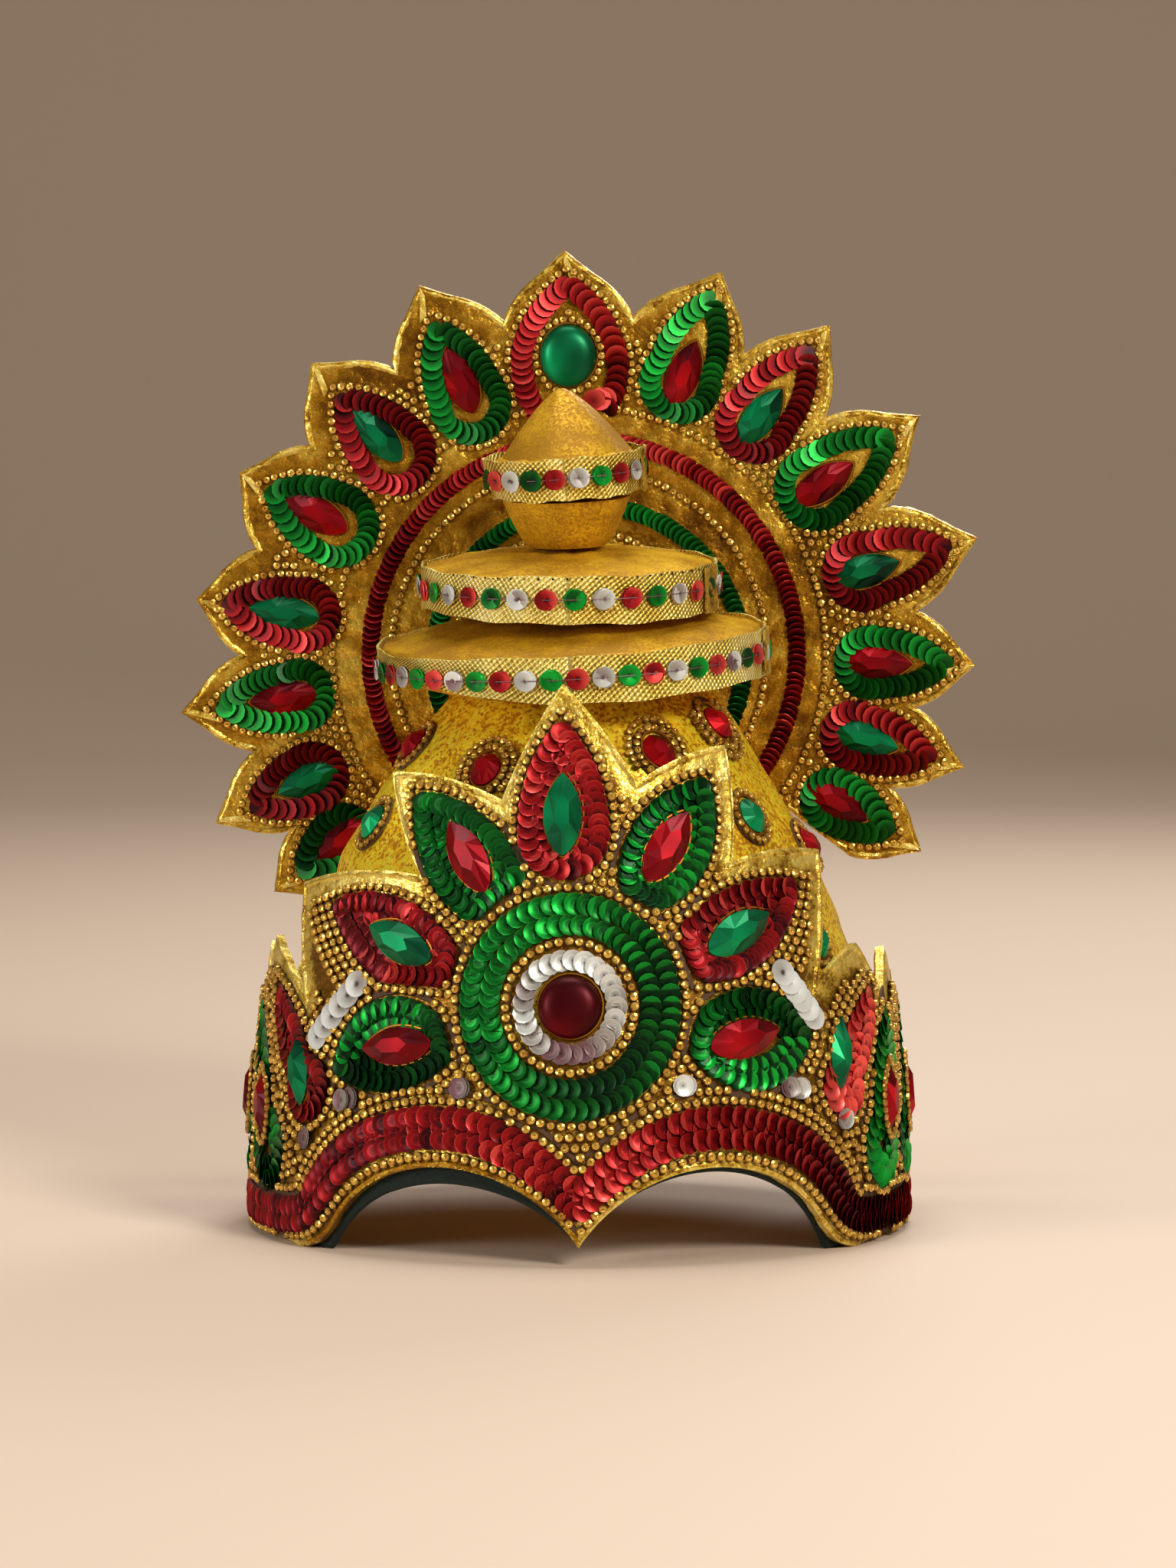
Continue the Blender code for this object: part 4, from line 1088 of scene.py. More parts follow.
def petal_field(corners):
    """A petal's ground and outline, and how the sequins lie at its points."""
    angle = sum(corner[0] for corner in corners) / len(corners)
    nodes = local_nodes(angle, corners)
    sides = [arc(a[:2], b[:2], a[2]) for a, b in zip(nodes, nodes[1:] + nodes[:1])]
    tones, leans = (np.repeat([node[i] for node in nodes], [len(side) for side in sides]) for i in (3, 4))
    # The brighter a side is painted, the more painted shadow lies under each next sequin of its rows.
    lie = {"tone": tones, "lean": leans, "gap": np.interp(tones, (0.35, 0.65), (0, 1))}
    return shield_ground(angle), np.concatenate(sides), lie


def wing_field(tip, foot, width, left_tone, right_tone, gap):
    """The same of a leaf on a wing."""
    angle = (tip[0] + foot[0]) / 2
    tip_place, foot_place = (node[:2] for node in local_nodes(angle, (tip, foot)))
    outline = leaf(tip_place, foot_place, width * MM, shoulder=0.36, side_bulge=0.10)
    share = np.arange(len(outline)) / len(outline)
    lie = {"tone": np.where(share < 0.5, left_tone, right_tone), "lean": 0 * share, "gap": gap + 0 * share}
    return shield_ground(angle), outline, lie


def fill_field(sewing, ground, outline, lie):
    """Two rows of sequins inside an outline, the outer one on top. Brighter sides are spaced wider."""
    for inset, lift in FIELD_ROWS:
        path = moved_out(outline, -inset * MM)
        if len(path) > 12 and np.linalg.norm(np.ptp(path, axis=0)) > SMALLEST_ROW:
            nearest = np.linalg.norm(path[:, None] - outline[None], axis=2).argmin(axis=1)
            here = {key: values[nearest] for key, values in lie.items()}
            pitch = np.interp(here["tone"], (0.2, 0.6), FIELD_PITCHES)
            sewing.row(ground, path, pitch, lift * MM, **here)


def hem_line():
    """The right half of the hem, out to the wing's end."""
    line = arch_curve(ARCH_RISE, FOOT_ROUNDING)
    return np.vstack([line, arc(line[-1], (unrolled(SHIELD_END_ANGLE) - 0.002, 0), 0, 0.002)[1:]])


def above_hem(distance):
    """A line above the right half of the hem, nearer to it towards the middle point and beyond the arch."""
    line = hem_line()
    share = smooth_step(np.clip(line[:, 0] / 0.035, 0, 1))
    beyond = np.clip((line[:, 0] - unrolled(40)) / (unrolled(60) - unrolled(40)), 0, 1)
    reach = distance * (0.68 + 0.32 * share) * (1 - 0.28 * beyond)
    moved = moved_out(line, -reach, closed=False)
    moved = moved[moved[:, 0] > -0.0003]
    for _ in range(12):
        moved[1:-1] = (moved[:-2] + 2 * moved[1:-1] + moved[2:]) / 4
    return moved


def rosette_ring(radius):
    """The rosette's ground and a ring on it, from millimetres."""
    return shield_ground(ROSETTE[0]), circle((0, ROSETTE[1] * MM), radius * MM)


def sew_shield_sequins(sewings, fields):
    """Sequins in the petals and leaves, round the rosette and over the hem, and silver strips and spots."""
    for colour, ground, outline, lie in fields:
        fill_field(sewings[colour], ground, outline, lie)
    for radius, pitch, colour, tones, leans in ROSETTE_RINGS:
        sewings[colour].row(*rosette_ring(radius), pitch * MM, SEQUIN_LIFT, tones, **gaping(leans))
    for side in (1, -1):
        # All of these rows run from right to left, so those of the right half are turned round
        tones, leans, pitches = (np.array(values)[::-side] for values in HEM_SIDES[side])
        for distance, lift in HEM_ROWS:
            path = (above_hem(distance * MM) * (side, 1))[::-side]
            sewings["red"].row(UNROLLED, path, pitches * MM, lift * MM, tones, closed=False, **gaping(leans))
    for start, end, spaces, tones in SILVER_STRIPS:
        angle = (start[0] + end[0]) / 2
        a, b = local_nodes(angle, (start, end))
        pitch = math.dist(a, b) / spaces
        sewings["strip"].row(shield_ground(angle), arc(a, b, 0), pitch, 1.3 * MM, tones, closed=False)
    for angle, height, tone in SILVER_SPOTS:
        pair = np.array([(-0.4, height), (0.4, height)]) * MM
        sewings["silver"].row(shield_ground(angle), pair, ENDS_ONLY, 0.8 * MM, tone, closed=False)


def inside_shield(margin):
    """A test for places on the shield that are a margin or more from its edge."""
    outline = shield_outline()

    def test(places):
        angle = np.arctan2(places[:, 0], AXIS_Y - places[:, 1])
        flat = np.stack([angle * SHIELD_RADIUS, places[:, 2]], axis=1)
        return within(flat, outline) & (gap_to(flat, outline) > margin)
    return test


def sew_shield_beads(fields, sequins):
    """Beads clear of the sequins: round the rosette, over the hem, and round and between the fields. The
    first rows of them lie on a dark strand of thread, which also stands for painted shade between the beads."""
    beads, threads = Sewing(6, 0.16), []
    strand = np.array([(-0.9, 0), (0.9, 0), (0.7, 0.4), (-0.7, 0.4)]) * MM

    def bead_row(ground, path, closed=True, margin=1.6, on_thread=True):
        clear_of = ((beads.places(), 2.5 * MM), (sequins, 3.5 * MM))
        beads.row(ground, path, BEAD_PITCH, BEAD_LIFT, 0.62, closed, clear_of, inside_shield(margin * MM))
        if on_thread and len(path) > 3:
            flat, _, _ = spaced(ground, path, 1.6 * MM, closed)
            threads.append(carried(ground.at(flat, -0.1 * MM), ground.outward(flat), strand, closed))
    for radius in ROSETTE_BEAD_RINGS:
        bead_row(*rosette_ring(radius))
    for side in (1, -1):
        for distance in HEM_BEAD_ROWS:
            bead_row(UNROLLED, above_hem(distance * MM) * (side, 1), closed=False)
    for _, ground, outline, _ in fields:
        bead_row(ground, moved_out(outline, BEAD_OUTSET * MM), margin=2.0)
    for outset in FILL_OUTSETS:
        for _, ground, outline, _ in fields:
            bead_row(ground, moved_out(outline, outset * MM), margin=FILL_MARGIN, on_thread=False)
        bead_row(*rosette_ring(ROSETTE_EDGE + outset), margin=FILL_MARGIN, on_thread=False)
    return beads, threads


def sew_wing_loops():
    """Loops of small beads close round some of the wings' stones."""
    loops = Sewing(7, 0.16)
    for node in WING_LOOPS:
        angle, share, turn = SHIELD_STONES[node]
        loop = turned_outline(cut_outline(WING_CUT, 60, 1.0 * MM), (0.0, share * SHIELD_HEIGHT), turn)[::-1]
        loops.row(shield_ground(angle), loop, 2.15 * MM, 1.9 * MM, 0.55)
    return loops


def make_shield_trim():
    fields = [(colour, *petal_field(corners)) for colour, corners in PETALS]
    fields += [(colour, *wing_field(*wing)) for colour, *wing in WINGS]
    sewings = {"red": Sewing(3), "green": Sewing(4), "silver": Sewing(5, 0.15), "strip": Sewing(8, 0.1)}
    sew_shield_sequins(sewings, fields)
    sequins = np.concatenate([sewing.places() for sewing in sewings.values()])
    beads, threads = sew_shield_beads(fields, sequins)
    sew_wing_loops().make("wing_loops", "small_bead", "gold_bead", sway=12, spread=0.06, seed=15)
    for colour, lean, seed in (("red", -11, 11), ("green", -11, 12), ("silver", -9, 13)):
        name, slot = f"shield_{colour}_sequins", colour + "_sequin"
        sewings[colour].make(name, "cup", slot, sway=5, spread=0.05, seed=seed, lean=lean)
    strip = {"sway": 4, "spread": 0.05, "seed": 16, "lean": -9}
    sewings["strip"].make("shield_silver_strips", "wide_disc", "silver_sequin", **strip)
    beads.make("shield_beads", "bead", "gold_bead", sway=14, spread=0.08, seed=14)
    finish_piece(add_piece("shield_thread", joined("shield_thread", threads)), "dark_thread")


# Stones

# The shield's stones: degrees from the front, share of SHIELD_HEIGHT, and turn of the tip clockwise from up
SHIELD_STONES = {
    "stone_rosette": (-1.6, 0.447, 0), "stone_middle": (-3.4, 0.775, 0),
    "stone_left_upper": (-23.2, 0.700, -34), "stone_right_upper": (18.6, 0.719, 36),
    "stone_left_mid": (-36.3, 0.547, -68), "stone_right_mid": (32.3, 0.567, 65),
    "stone_left_lower": (-34.3, 0.370, -97), "stone_right_lower": (31.1, 0.385, 80),
    "stone_left_wing_1": (-58.4, 0.310, -14), "stone_left_wing_2": (-72, 0.235, -12),
    "stone_left_wing_3": (-89, 0.235, -12), "stone_left_wing_4": (-106, 0.225, -10),
    "stone_right_wing_1": (53.5, 0.345, 11), "stone_right_wing_2": (69.5, 0.250, 9),
    "stone_right_wing_3": (87, 0.240, 9), "stone_right_wing_4": (104.5, 0.230, 8),
}
WING_LOOPS = ("stone_left_wing_2", "stone_right_wing_2", "stone_left_wing_3", "stone_right_wing_3")
# The cap's stones: the same in shares of CAP_HEIGHT
CAP_STONES = {
    "cap_stone_left_front": (-30, 0.863, 170), "cap_stone_right_front": (27, 0.893, 165),
    "cap_stone_left_back": (-74, 0.897, 40), "cap_stone_right_back": (60, 0.930, -25),
    "cap_stone_left_mid": (-67, 0.752, 15), "cap_stone_right_mid": (52, 0.770, 0),
    "cap_stone_left_low": (-69, 0.532, 0), "cap_stone_right_low": (61, 0.545, 0),
    "cap_stone_right_side": (76, 0.705, 0),
}
# Length, width and height of each kind of stone, and how much its outline tapers at its tip and tail
PETAL_CUT = (0.024, 0.011, 0.0040, 0.9, 0.6)
WING_CUT = (0.021, 0.0092, 0.0036, 0.9, 0.6)
ROUND_CUT = (0.018, 0.018, 0.0042, 0.5, 0.5)
HALO_CUT = (0.0215, 0.0098, 0.0038, 0.9, 0.6)
HALO_TOP_CUT = (0.019, 0.017, 0.0040, 0.5, 0.5)
CAP_CUT = (0.011, 0.0096, 0.0030, 0.52, 0.5)
STONE_SIDES, STONE_FACETS, TABLE_SHARE, GIRDLE_SHARE = 24, 6, 0.46, 0.25
# A domed stone's rings from its back to its top: share of its outline, and share of its height
DOME_LEVELS = (
    (0.02, 0), (1, 0), (1, GIRDLE_SHARE), (0.9, 0.62), (0.72, 0.86), (0.5, 0.96), (0.25, 1.0), (0.02, 1.0),
)
STONE_PAINTED_LIGHT = np.array([-0.6, -0.35])  # towards the side where the stones are painted lighter
RIM_WIRE, RIM_HIGHLIGHT_SHIFT = 0.42 * MM, 0.28 * MM  # the gold rim under each stone, shifted so that it shows at its upper right as a painted highlight


def cut_outline(cut, count, grown=0.0):
    """A stone's outline about its middle, clockwise from its tip."""
    length, width, _, tip, tail = cut
    turn = np.arange(count) * 2 * math.pi / count
    taper = np.where(np.cos(turn) > 0, tip, tail)
    aside = np.copysign(np.abs(np.sin(turn)) ** (2 * taper), np.sin(turn))
    return np.stack([aside * (width / 2 + grown), np.cos(turn) * (length / 2 + grown)], axis=1)


def turned_outline(outline, place, turn):
    """An outline turned clockwise by degrees and moved to a place."""
    s, c = math.sin(math.radians(turn)), math.cos(math.radians(turn))
    return np.stack([outline[:, 0] * c + outline[:, 1] * s, outline[:, 1] * c - outline[:, 0] * s], 1) + place


def seat(ground, place):
    """A function from a stone's own (across, up) and height to places in space."""
    middle = np.array([place], float)
    origin, outward = ground.at(middle, SEAM_GAP)[0], ground.outward(middle)[0]
    x, y = middle.T
    right = unit(ground.place(x + PROBE, y) - ground.place(x - PROBE, y))[0]
    up = np.cross(outward, right)
    return lambda flat, height: origin + flat[:, :1] * right + flat[:, 1:] * up + outward * height


def facets(cut, turn, seated, random):
    """Points, faces and brightness of a stone with long facets round a table."""
    edge = turned_outline(cut_outline(cut, STONE_SIDES), (0, 0), turn)
    table = turned_outline(cut_outline(cut, STONE_FACETS), (0, 0), turn) * TABLE_SHARE
    points = np.concatenate([seated(edge, 0.0), seated(edge, cut[2] * GIRDLE_SHARE), seated(table, cut[2])])
    count, share = STONE_SIDES, STONE_SIDES // STONE_FACETS
    girdle = [[i, (i + 1) % count, count + (i + 1) % count, count + i] for i in range(count)]
    faces = girdle + [list(range(count))]
    tones = [0.25] * len(faces)
    for facet in range(STONE_FACETS):
        rim = [count + (share * facet + i) % count for i in range(share + 1)]
        faces.append(rim + [2 * count + (facet + 1) % STONE_FACETS, 2 * count + facet])
        side = unit(edge[(share * facet + 1) % count] + edge[(share * facet + 2) % count])
        # Facets towards the stones' painted-light side are painted brighter; the rest of their tone differs
        # at random.
        tones.append(0.36 + 0.22 * float(side @ STONE_PAINTED_LIGHT) + random.uniform(-0.22, 0.28))
    faces.append([2 * count + i for i in range(STONE_FACETS)])
    return points, faces, [*tones, random.uniform(0.45, 0.68)]


def make_stone(node, ground, place, turn, cut, random):
    """A cut stone in the place of a solid one. A round one is domed and smooth. Returns its rim."""
    seated = seat(ground, place)
    if cut in (ROUND_CUT, HALO_TOP_CUT):
        edge = turned_outline(cut_outline(cut, 48), (0, 0), turn)
        rings = np.array([seated(edge * share, cut[2] * height) for share, height in DOME_LEVELS])
        # A domed stone is painted lighter towards one side.
        light = (unit(edge) @ STONE_PAINTED_LIGHT)[None, :] * np.array([share for share, _ in DOME_LEVELS])[:, None]
        mesh = ring_mesh(node + "_cut", rings, SOFT_ANGLE, tone=0.42 + 0.36 * light)
    else:
        points, faces, tones = facets(cut, turn, seated, random)
        tones = np.array(tones) + (0.25 if cut == CAP_CUT else 0)  # the cap's small stones are brighter
        mesh = closed_mesh(node + "_cut", points, faces, FACET_ANGLE)
        mesh.shade_flat()
        set_values(mesh, "tone", np.clip(tones, 0, 1), "FACE")
    finish_piece(add_piece(node + "_cut", mesh), SLOT_OF[node], node)
    rim = turned_outline(cut_outline(cut, 48, 0.2 * MM), np.add(place, RIM_HIGHLIGHT_SHIFT), turn)
    return carried(ground.at(rim, 0.5 * MM), ground.outward(rim), round_section(RIM_WIRE, 6), True)


def make_stones():
    random = np.random.default_rng(21)
    rims = []
    for node, (angle, share, turn) in SHIELD_STONES.items():
        cut = WING_CUT if "wing" in node else ROUND_CUT if "rosette" in node else PETAL_CUT
        rims.append(make_stone(node, shield_ground(angle), (0.0, share * SHIELD_HEIGHT), turn, cut, random))
    for node, (angle, share, turn) in CAP_STONES.items():
        rims.append(make_stone(node, cap_ground(angle), (0.0, share * CAP_HEIGHT), turn, CAP_CUT, random))
    for number, (turn, _) in enumerate(HALO_PETALS):
        node, cut = f"halo_stone_{number + 1:02d}", HALO_TOP_CUT if number == HALO_MIDDLE else HALO_CUT
        rims.append(make_stone(node, halo_ground(turn), (0.0, HALO_STONE_RADIUS), 0, cut, random))
    finish_piece(add_piece("stone_rims", joined("stone_rims", rims)), "gold_bead")


# Cap

STONE_PATCH = 0.0105  # how far round each stone the knit lies flat
CAP_ROWS, CAP_STEP = 84, 1.25  # rows up the cap's outside, and degrees between its columns
CAP_HEM_ROLL = 0.0012


def fold_depth(angle, height):
    """How far the knit sinks between its soft folds, in metres. It lies flat round the stones."""
    turn = np.radians(angle)
    up = np.clip((height - 0.045) / 0.06, 0, 1)
    slanted = np.sin(5 * turn + height * 95 + 1.5 * np.sin(2 * turn + 40 * height))
    fine = np.sin(11 * turn - height * 160 + 2 * np.sin(3 * turn)) * np.sin(7 * turn + 60 * height)
    crease = np.abs(np.sin(4 * turn - height * 70 + 2.2 * np.sin(3 * turn + 55 * height))) ** 0.35 - 1
    gathers = np.sin(34 * turn + 2 * np.sin(5 * turn)) * np.clip((height - 0.135) / 0.025, 0, 1)
    depth = -0.0006 * (1 + slanted) - 0.0004 * (1 + fine) + 0.0011 * crease - 0.0006 * (1 + gathers)
    free = 1.0
    for stone_angle, share, _ in CAP_STONES.values():
        across = np.radians(angle - stone_angle) * cap_radius(height)
        free = free * (1 - np.exp(-(across ** 2 + (height - share * CAP_HEIGHT) ** 2) / STONE_PATCH ** 2))
    return depth * up * free


def make_cap_cloth():
    """The cap's knit, as a wall from the middle of its top, inside, down to its rim and up again, outside."""
    angles = np.arange(0, 360, CAP_STEP)
    signed = (angles + 180) % 360 - 180
    walls = np.linspace(CAP_RIM_HEIGHT, CAP_HEIGHT, CAP_ROWS)
    rim_radius = float(cap_radius(CAP_RIM_HEIGHT))

    def ring(radius, height, depth=0.0):
        return on_cylinder(angles, radius + depth, np.full(len(angles), height))
    inside = [(0.004, CAP_HEIGHT)] + [(float(cap_radius(h)), h) for h in walls[::-7]]
    inner = [ring(max(0.001, r - CAP_WALL), min(h, CAP_HEIGHT - CAP_WALL)) for r, h in inside]
    rim = [ring(rim_radius - 0.0022, CAP_RIM_HEIGHT), ring(rim_radius - 0.0004, CAP_RIM_HEIGHT)]
    outer = [ring(float(cap_radius(h)), h, fold_depth(signed, h)) for h in walls + 0.0003]
    outer[-1][:, 2] = CAP_HEIGHT
    top = [ring(r, CAP_HEIGHT) for r in (0.032, 0.02, 0.004)]
    mesh = ring_mesh("cap_cloth", bent_over(np.array(inner + rim + outer + top)))
    finish_piece(add_piece("cap_cloth", mesh), "gold_mesh", "crown_cap")
    hem = on_cylinder(angles, rim_radius - 0.0011, CAP_RIM_HEIGHT + 0.0006)
    outward = on_cylinder(angles, 1.0, 0.0) - (0, AXIS_Y, 0)
    cord = joined("cap_hem", [carried(hem, outward, round_section(CAP_HEM_ROLL, 8), True)])
    finish_piece(add_piece("cap_hem", cord), "gold_satin")


def under_large_disc(places):
    return places[:, 2] < CAP_HEIGHT - 0.004


def make_cap_trim():
    """Beads round the cap's stones, on a dark strand of thread. Three stones have a second, open row."""
    beads, threads = Sewing(51, 0.16), []
    strand = np.array([(-1.2, -0.2), (1.2, -0.2), (1.0, 0.2), (-1.0, 0.2)]) * MM
    for node, (angle, share, turn) in CAP_STONES.items():
        ground, place = cap_ground(angle), (0.0, share * CAP_HEIGHT)
        loop = turned_outline(cut_outline(CAP_CUT, 72, 1.5 * MM), place, turn)[::-1]
        beads.row(ground, loop, 2.45 * MM, 0.5 * MM, 0.55, bounds=under_large_disc)
        threads.append(carried(ground.at(loop), ground.outward(loop), strand, True))
        if "front" in node or "right_back" in node:
            loop = turned_outline(cut_outline(CAP_CUT, 72, 4.0 * MM), place, turn)[::-1][8:56]
            beads.row(ground, loop, 2.45 * MM, 0.5 * MM, 0.55, closed=False, bounds=under_large_disc)
    beads.make("cap_beads", "small_bead", "gold_bead", sway=14, spread=0.07, seed=52)
    finish_piece(add_piece("cap_thread", joined("cap_thread", threads)), "dark_thread")


# Tower

class Disc:
    """A turned piece of the tower: its foot's middle and its own axes."""

    def __init__(self, node, roll, radius, edge, dome=0.0):
        self.matrix = turn_matrix(roll)
        low, high = (np.array(corner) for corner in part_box(node))
        self.foot = (low + high) / 2 - self.matrix @ np.array([0, 0, edge / 2])
        self.radius, self.edge, self.dome, self.name = radius, edge, dome, node.split("_")[0]

    def laid(self, points):
        return self.foot + points @ self.matrix.T


def turned_rings(profile, columns, dent):
    """Rings of a turned body. A dent changes their (radius, height) at each (turn, radius, height)."""
    turn = np.arange(columns) * 2 * math.pi / columns
    radius, height = np.array(profile).T[:, :, None]
    outwards, up = dent(turn, radius, height)
    radius, height = np.broadcast_arrays(radius + outwards, height + up + 0 * turn)
    return np.stack([radius * np.sin(turn), -radius * np.cos(turn), height], axis=2)


def pad_profile(radius, edge, dome):
    """A padded disc, from under its middle round its edge to its top."""
    flat = radius - PAD_ROUNDING
    turn = np.linspace(0, math.pi / 2, 5)
    low = [(flat + PAD_ROUNDING * math.sin(t), PAD_ROUNDING * (1 - math.cos(t))) for t in turn]
    high = [(flat + PAD_ROUNDING * math.cos(t), edge - PAD_ROUNDING * (1 - math.sin(t))) for t in turn]
    top = [(flat * s, edge + dome * (1 - s ** DOME_POWER)) for s in np.linspace(0.96, 0.02, 22)]
    return [(0.002, 0), (flat * 0.6, 0), *low, *high, *top]


# The ribbons: how much less the foot's radius is, how far the foot is drawn up at the front left as a share
# of the edge, and where one end is folded over the other, in degrees from the front
RIBBONS = {"large": (0.0004, 0.48, 74), "medium": (0.0003, 0.12, 62), "finial": (0.0026, 0.05, 66)}
RIBBON_ROWS, RIBBON_COLUMNS = 9, 320
PAD_CLEARANCE = 0.0013  # between a pad and its ribbon's outer face


def drawn_side(turn):
    """1 where a ribbon's foot is drawn up most, at its front left, and 0 away from there."""
    signed = (turn + math.pi) % (2 * math.pi) - math.pi
    return np.exp(-((signed + 1.05) / 0.55) ** 2)


def make_pads():
    """The padded discs. Their tops are creased, and their foot is drawn up with their ribbon's."""
    for disc in DISCS.values():
        taper, drawn, _ = RIBBONS[disc.name]
        radius = disc.radius - PAD_CLEARANCE - taper
        phase = np.random.default_rng(int(radius * 1e5)).uniform(0, 6, 3)

        def crumple(turn, reach, height):
            share = reach / radius
            rings = np.sin(5 * turn + phase[0] + 14 * share) * np.sin(3 * turn + phase[1] - 9 * share)
            creases = np.abs(np.sin(8 * turn + phase[2] + 5 * share)) ** 0.5 - 1
            on_top = (height > disc.edge - 0.001) & (share < 0.97)
            soft = on_top * (0.0004 * (rings - 1) + 0.0006 * creases * share) * (share > 0.03)
            near_foot = np.clip(1 - 1.6 * height / disc.edge, 0, 1) * (share > 0.5)
            return 0 * turn, soft + 0.6 * drawn * disc.edge * drawn_side(turn) * near_foot
        rings = turned_rings(pad_profile(radius, disc.edge, disc.dome), 120, crumple)
        # The large pad is darkened as painted shadow of the medium disc above it.
        mesh = ring_mesh(disc.name + "_pad", disc.laid(rings), shade=0.35 if disc.name == "large" else 0.0)
        piece = finish_piece(add_piece(disc.name + "_pad", mesh), "gold_lame", disc.name + "_disc")


def ribbon_rings(disc):
    """A ribbon as a thin wall: up its outer face and down its inner one. Its edges wave a little."""
    phase = disc.radius * 1e3
    taper, drawn, _ = RIBBONS[disc.name]

    def face(radius, low, high):
        return [(radius, low + (high - low) * i / (RIBBON_ROWS - 1)) for i in range(RIBBON_ROWS)]
    profile = face(disc.radius - 0.0003, 0.0, disc.edge) + face(disc.radius - 0.0010, disc.edge, 0.0)

    def wave(turn, _, height):
        up = height / disc.edge
        edge = 0.0005 * np.sin(9 * turn + phase) * np.sin(4 * turn) * np.abs(2 * up - 1) ** 3
        lift = drawn * disc.edge * drawn_side(turn) * (1 - 1.1 * up)
        dents = 0.00030 * np.sin(13 * turn + phase + 6 * up) * np.sin(5 * turn - 4 * up + phase)
        kinks = -0.0004 * np.exp(-((np.sin(4.5 * turn + phase) - 1) / 0.02) ** 2)
        hollow = -0.0002 * np.sin(math.pi * up) - taper * (1 - up)
        return np.minimum(dents + kinks, 0.0003) + hollow, edge + lift
    return turned_rings([*profile, profile[0]], RIBBON_COLUMNS, wave)


def face_of(disc, share):
    """A ribbon's outer face about a share of its height, and its radius halfway down its slight taper."""
    radius, centre = disc.radius - RIBBONS[disc.name][0] / 2, disc.laid(np.array([0, 0, disc.edge * share]))
    return band_ground(centre, disc.matrix, radius), radius


def make_ribbons():
    """The ribbons round the discs, each with one end folded over the other."""
    for disc in DISCS.values():
        name, fold = disc.name + "_ribbon", RIBBONS[disc.name][2]
        mesh = ring_mesh(name, disc.laid(ribbon_rings(disc)), SOFT_ANGLE)
        ribbon = finish_piece(add_piece(name, mesh), "gold_braid", disc.name + "_band")
        ground, radius = face_of(disc, 0.5)
        round_it = 2 * math.pi * radius
        line = np.stack([np.radians(np.linspace(fold, fold + 14, 8)) * disc.radius, np.zeros(8)], axis=1)
        low, high, thick = -0.47 * disc.edge, 0.49 * disc.edge, 0.0004
        section = np.array([(low, 0), (high, 0), (high, thick), (low, thick)])
        flap = carried(ground.at(line, np.linspace(0.0006, 0.0002, 8)), ground.outward(line), section, False)
        finish_piece(add_piece(name + "_end", joined(name + "_end", [flap])), "gold_tissue")


def make_finial():
    bulb = Disc("finial_bulb", BULB_ROLL, BULB_TOP_RADIUS, BULB_HEIGHT)
    cone = Disc("finial_cone", FINIAL_ROLL, CONE_RADIUS, CONE_HEIGHT)

    def seams(turn, reach, height):
        return -0.0003 * (1 + np.sin(6 * turn)) * (reach > 0.004), 0 * turn * height
    flare = BULB_TOP_RADIUS - BULB_FOOT_RADIUS
    side = [(BULB_FOOT_RADIUS + flare * s ** 0.7, BULB_HEIGHT * s) for s in np.linspace(0, 1, 14)]
    rings = turned_rings([(0.001, 0), *side, (0.001, BULB_HEIGHT)], 72, seams)
    mesh = ring_mesh("bulb", bulb.laid(rings))
    finish_piece(add_piece("bulb", mesh), "gold_lame", "finial_bulb")
    side = [(CONE_RADIUS * s ** 0.72, CONE_HEIGHT * (1 - s)) for s in np.linspace(1, 0.012, 26)]
    # The cone is darkened as painted shade, to temper the light it faces.
    mesh = ring_mesh("cone", cone.laid(turned_rings([(0.001, 0), *side], 72, seams)), shade=0.6)
    finish_piece(add_piece("cone", mesh), "gold_lame", "finial_cone")


# Sequins on the ribbons: how many, where the first one is in degrees from the front, and their colours
BAND_SEQUINS = {
    "large": (48, 1.24, ("red", "silver", "green")), "medium": (33, 2.3, ("green", "silver", "red")),
    "finial": (21, -7.9, ("red", "silver", "green")),
}


def make_band_trim():
    """Pairs of discs in turning colours on a thread, and stitches along the two upper ribbons."""
    sewings = {colour: Sewing(seed, 0.24) for colour, seed in (("red", 31), ("green", 32), ("silver", 33))}
    stitches, threads = Sewing(34), []
    for disc in DISCS.values():
        ground, radius = face_of(disc, 0.53)
        count, first, colours = BAND_SEQUINS[disc.name]
        for i in range(count):
            x = math.radians((first + i * 360 / count + 180) % 360 - 180) * radius
            pair = np.array([(x - 0.3 * MM, 0.0), (x + 0.3 * MM, 0.0)])
            sewings[colours[i % len(colours)]].row(ground, pair, ENDS_ONLY, 0.35 * MM, 0.5, closed=False)
        around = 2 * math.pi * disc.radius
        line = np.stack([np.linspace(-0.5, 0.5, 160)[:-1] * around, np.zeros(159)], axis=1)
        thread = round_section(0.16 * MM, 5)
        threads.append(carried(ground.at(line, 0.7 * MM), ground.outward(line), thread, True))
        if disc.name != "large":
            stitches.row(ground, line + (0, disc.edge * 0.43), 4.2 * MM, 0.1 * MM, 0.2)
    for colour, sewing in sewings.items():
        sewing.make(f"band_{colour}_sequins", "disc", colour + "_sequin", sway=9, spread=0.06, seed=35)
    stitches.make("band_stitches", "stitch", "dark_bead", sway=20, spread=0.2, seed=36)
    finish_piece(add_piece("band_threads", joined("band_threads", threads)), "silver_sequin")


# Halo

HALO_RINGS = (38.0, 57.3, 75.5)  # of beads, in millimetres from the halo's centre
HALO_BEAD_PITCH, ROPE_PITCH = 2.6 * MM, 1.9 * MM
# A petal's side is fullest at a share of the way from valley to tip, and stands out there by another share of
# it. Its lower part bulges out and its upper part in a little
FULLEST, FULLNESS, LOWER_BULGE, UPPER_BULGE = 0.58, 0.042, 0.07, -0.015


